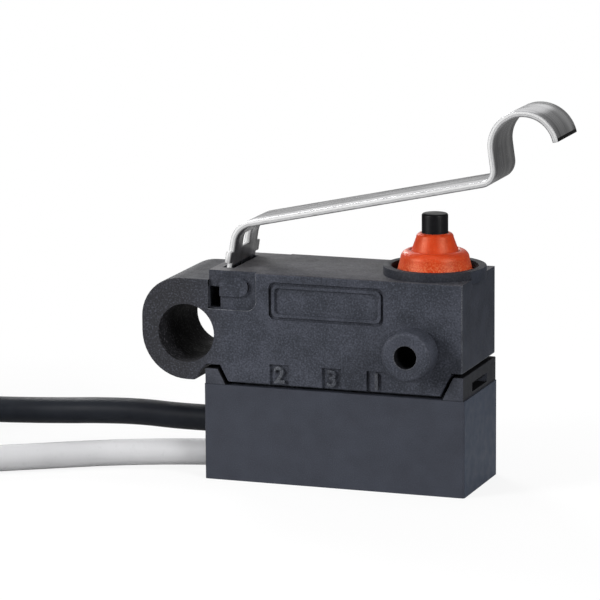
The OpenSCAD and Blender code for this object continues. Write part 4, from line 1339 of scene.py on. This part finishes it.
@dataclass
class HingeLever:
    """Sheet lever: a foot in the case, a long arm, a riser and a rolled end."""

    hinge: Pair = (-5.73, 9.98)
    thick: float = 0.3
    heading: float = 81.0
    arm_rise: float = 12.1
    riser_heading: float = 98.0
    tail_corner: Pair = (0.38804, 2.45)
    riser_corner: Pair = (13.55, 5.2717)
    tail_bend: float = 1.1
    riser_bend: float = 0.7
    roll_at: Pair = (14.9429, 7.0017)
    roll_r: float = 1.62
    roll_stop: float = 12.0
    bend_steps: int = 12
    roll_steps: int = 60
    stations: tuple[float, ...] = (-1.2, -0.58, 0.6885, 1.2385, 1.3085)
    slot_half: float = 0.5
    arm_half: float = 1.6
    shoulder_half: float = 2.0
    foot_half: float = 2.1
    tail_reach: float = 2.06
    edge_round: float = 0.035
    edge_corner: float = 50.0
    dark_margin: float = 7.0
    cap_near: float = 0.5
    foot_near: float = 0.01
    arm_facing: float = 0.95

    def bearing(self, degrees: float) -> tuple[Vector, Vector]:
        """Gives the direction at an angle, and the direction to its left."""
        a = math.radians(degrees)
        return Vector((math.cos(a), math.sin(a))), Vector((-math.sin(a), math.cos(a)))

    def tangent(self, degrees: float, bend: float) -> float:
        """Gives how far before the arm's corner a bend to another heading begins."""
        return bend * math.tan(math.radians(degrees - self.arm_rise) / 2)

    def centreline(self) -> list[Pair]:
        """Draws the sheet's middle line from the foot to the rolled end.

        Returns:
            X and Z of its points in millimetres, from the hinge.
        """
        along, left = self.bearing(self.heading)
        arm, arm_left = self.bearing(self.arm_rise)
        reach = math.hypot(*self.tail_corner) - self.tangent(self.heading, self.tail_bend)
        tail_at = along * reach - left * self.tail_bend
        bend_from = Vector(self.riser_corner) - arm * self.tangent(self.riser_heading, self.riser_bend)
        riser_at = bend_from + arm_left * self.riser_bend
        low, high, steps = self.arm_rise, self.riser_heading, self.bend_steps
        line = [tuple(along * s) for s in self.stations]
        line += arc(tuple(tail_at), self.tail_bend, self.heading + 90, low + 90, steps)
        start = Vector(line[-1])
        line += [tuple(start.lerp(bend_from, i / steps)) for i in range(1, steps)]
        line += arc(tuple(riser_at), self.riser_bend, low - 90, high - 90, steps)
        line += arc(self.roll_at, self.roll_r, high + 90, self.roll_stop, self.roll_steps)
        return line

    def along_tail(self, middle: Vector) -> float:
        """Gives how far a point lies from the hinge along the tail, in millimetres."""
        return self.bearing(self.heading)[0].dot(middle.xz)

    def is_cut_away(self, face: BMFace) -> bool:
        """Says whether a square of the full strip is outside the lever's outline.

        Args:
            face: The square.

        Returns:
            True where it is cut away.
        """
        middle = face.calc_center_median() / MM
        along, wide = self.along_tail(middle), abs(middle.y)
        _, foot_top, shoulder_low, shoulder_top, slot_low = self.stations
        if middle.x > self.tail_corner[0] or along > self.tail_reach:
            return wide > self.arm_half
        if along < foot_top:
            return wide > self.foot_half
        if shoulder_low < along < shoulder_top:
            return wide > self.shoulder_half
        return wide > self.arm_half or (along > slot_low and wide < self.slot_half)

    def strip(self) -> BMesh:
        """Draws the lever's middle face as a strip of squares, cut to its outline.

        Returns:
            The new mesh, measured from the hinge.
        """
        bm = bmesh.new()
        halves = (self.slot_half, self.arm_half, self.shoulder_half, self.foot_half)
        lines = [*(-w for w in reversed(halves)), *halves]
        row = [bm.verts.new((x * MM, lines[0] * MM, z * MM)) for x, z in self.centreline()]
        edges = [bm.edges.new(pair) for pair in zip(row, row[1:])]
        for low, high in zip(lines, lines[1:]):
            made = bmesh.ops.extrude_edge_only(bm, edges=edges)["geom"]
            points = [g for g in made if isinstance(g, BMVert)]
            bmesh.ops.translate(bm, verts=points, vec=(0, (high - low) * MM, 0))
            edges = [g for g in made if isinstance(g, BMEdge)]
        bmesh.ops.delete(bm, geom=[f for f in bm.faces if self.is_cut_away(f)], context="FACES")
        bmesh.ops.recalc_face_normals(bm, faces=bm.faces)
        return bm

    def on_shaded_end(self, face: BMFace) -> bool:
        """Says whether a face is on the turned-over outer margin of the rolled end, which gets painted
        shade.

        Args:
            face: The face.

        Returns:
            True for the sheet's end and the margin beside it.
        """
        ways = [p.xz - Vector(self.roll_at) for p in spots(face)]
        off = max(abs(math.degrees(math.atan2(w.y, w.x)) - self.roll_stop) for w in ways)
        outside = min(w.length for w in ways) > self.roll_r
        return off < self.cap_near or outside and off < self.dark_margin

    def on_foot_rim(self, face: BMFace) -> bool:
        """Says whether a face is on the foot's rim inside the case, which gets painted shade."""
        along = self.along_tail(face.calc_center_median() / MM)
        return face.material_index == LeverFace.SHEAR and along < self.stations[1] + self.foot_near

    def on_arm_top(self, face: BMFace) -> bool:
        """Says whether a face is on the arm's upper side, which gets painted shade that the bends
        don't.
        """
        low, high = self.tail_corner[0], self.riser_corner[0] - self.riser_bend
        return low < face.calc_center_median().x / MM < high and face.normal.z > self.arm_facing

    def mark(self, bm: BMesh) -> None:
        """Marks the faces that get painted shade: the rolled end, the foot's rim inside the case and
        the arm's top stretch.

        Args:
            bm: The lever's mesh, measured from the hinge.
        """
        shade = bm.verts.layers.float.new("shade")
        for face in bm.faces:
            if self.on_shaded_end(face) or self.on_foot_rim(face):
                face.material_index = LeverFace.SHADED_BLACK
            elif face.material_index == LeverFace.SHEET and self.on_arm_top(face):
                for point in face.verts:
                    point[shade] = 1.0

    def build(self) -> None:
        """Gives the strip its thickness, marks its rim and rounds the sheared edges."""
        bm = self.strip()
        bm.normal_update()
        for point in bm.verts:
            point.co += point.normal * (self.thick / 2 * MM)
        across = bm.verts.layers.float.new("across")
        first = set(bm.verts)
        bmesh.ops.solidify(bm, geom=list(bm.faces), thickness=self.thick * MM)
        for point in bm.verts:
            point[across] = 0.0 if point in first else 1.0
        for face in bm.faces:
            sides = {point[across] for point in face.verts}
            face.material_index = LeverFace.SHEAR if len(sides) > 1 else LeverFace.SHEET
        bmesh.ops.recalc_face_normals(bm, faces=bm.faces)
        self.mark(bm)
        soften(bm, lambda e: is_corner(e, self.edge_corner), self.edge_round, 2)
        bmesh.ops.translate(bm, verts=bm.verts, vec=(self.hinge[0] * MM, 0, self.hinge[1] * MM))
        finishes = [SHEET_FINISH, SHEAR_FINISH, SHADED_BLACK_FINISH]
        finish_piece(bm, "sheet_lever", finishes, Body.LEVER, ["lever"], crease=40.0)


@dataclass
class ContactWorks:
    """Contacts, terminals and springs inside the case."""

    finishes: tuple[tuple[Finish, tuple[str, ...]], ...] = (
        (BRASS_FINISH, ("common_terminal", "no_terminal", "nc_terminal")),
        (COPPER_FINISH, ("moving_arm",)),
        (SILVER_FINISH, ("moving_contact", "no_contact", "nc_contact")),
        (SOLDER_FINISH, ("common_solder", "no_solder")),
    )
    springs: tuple[tuple[str, Point, Point], ...] = (
        ("return_spring", (4.33, 0, 6.0), (4.33, 0, 8.9)),
        ("snap_spring", (-1.2, 0, 7.7), (2.6, 0, 9.26)),
    )

    def build(self) -> None:
        """Dresses the fixed works and makes the springs."""
        for finish, nodes in self.finishes:
            for node in nodes:
                dress_node(node, finish)
        for node, start, end in self.springs:
            bm = merged_copy(node)
            piece = finish_piece(bm, f"{node}_wire", [WIRE_FINISH], None, [node], crease=70.0)
            follow_plunger(piece, start, end)


def main() -> None:
    """Builds the studio and then the switch, piece by piece."""
    logging.basicConfig(level=logging.INFO, format="%(name)s: %(message)s")
    for part in (Studio, LeadPair, Housing, SealBoot, PlungerPin, HingeLever, ContactWorks):
        part().build()


if __name__ == "__main__":
    main()
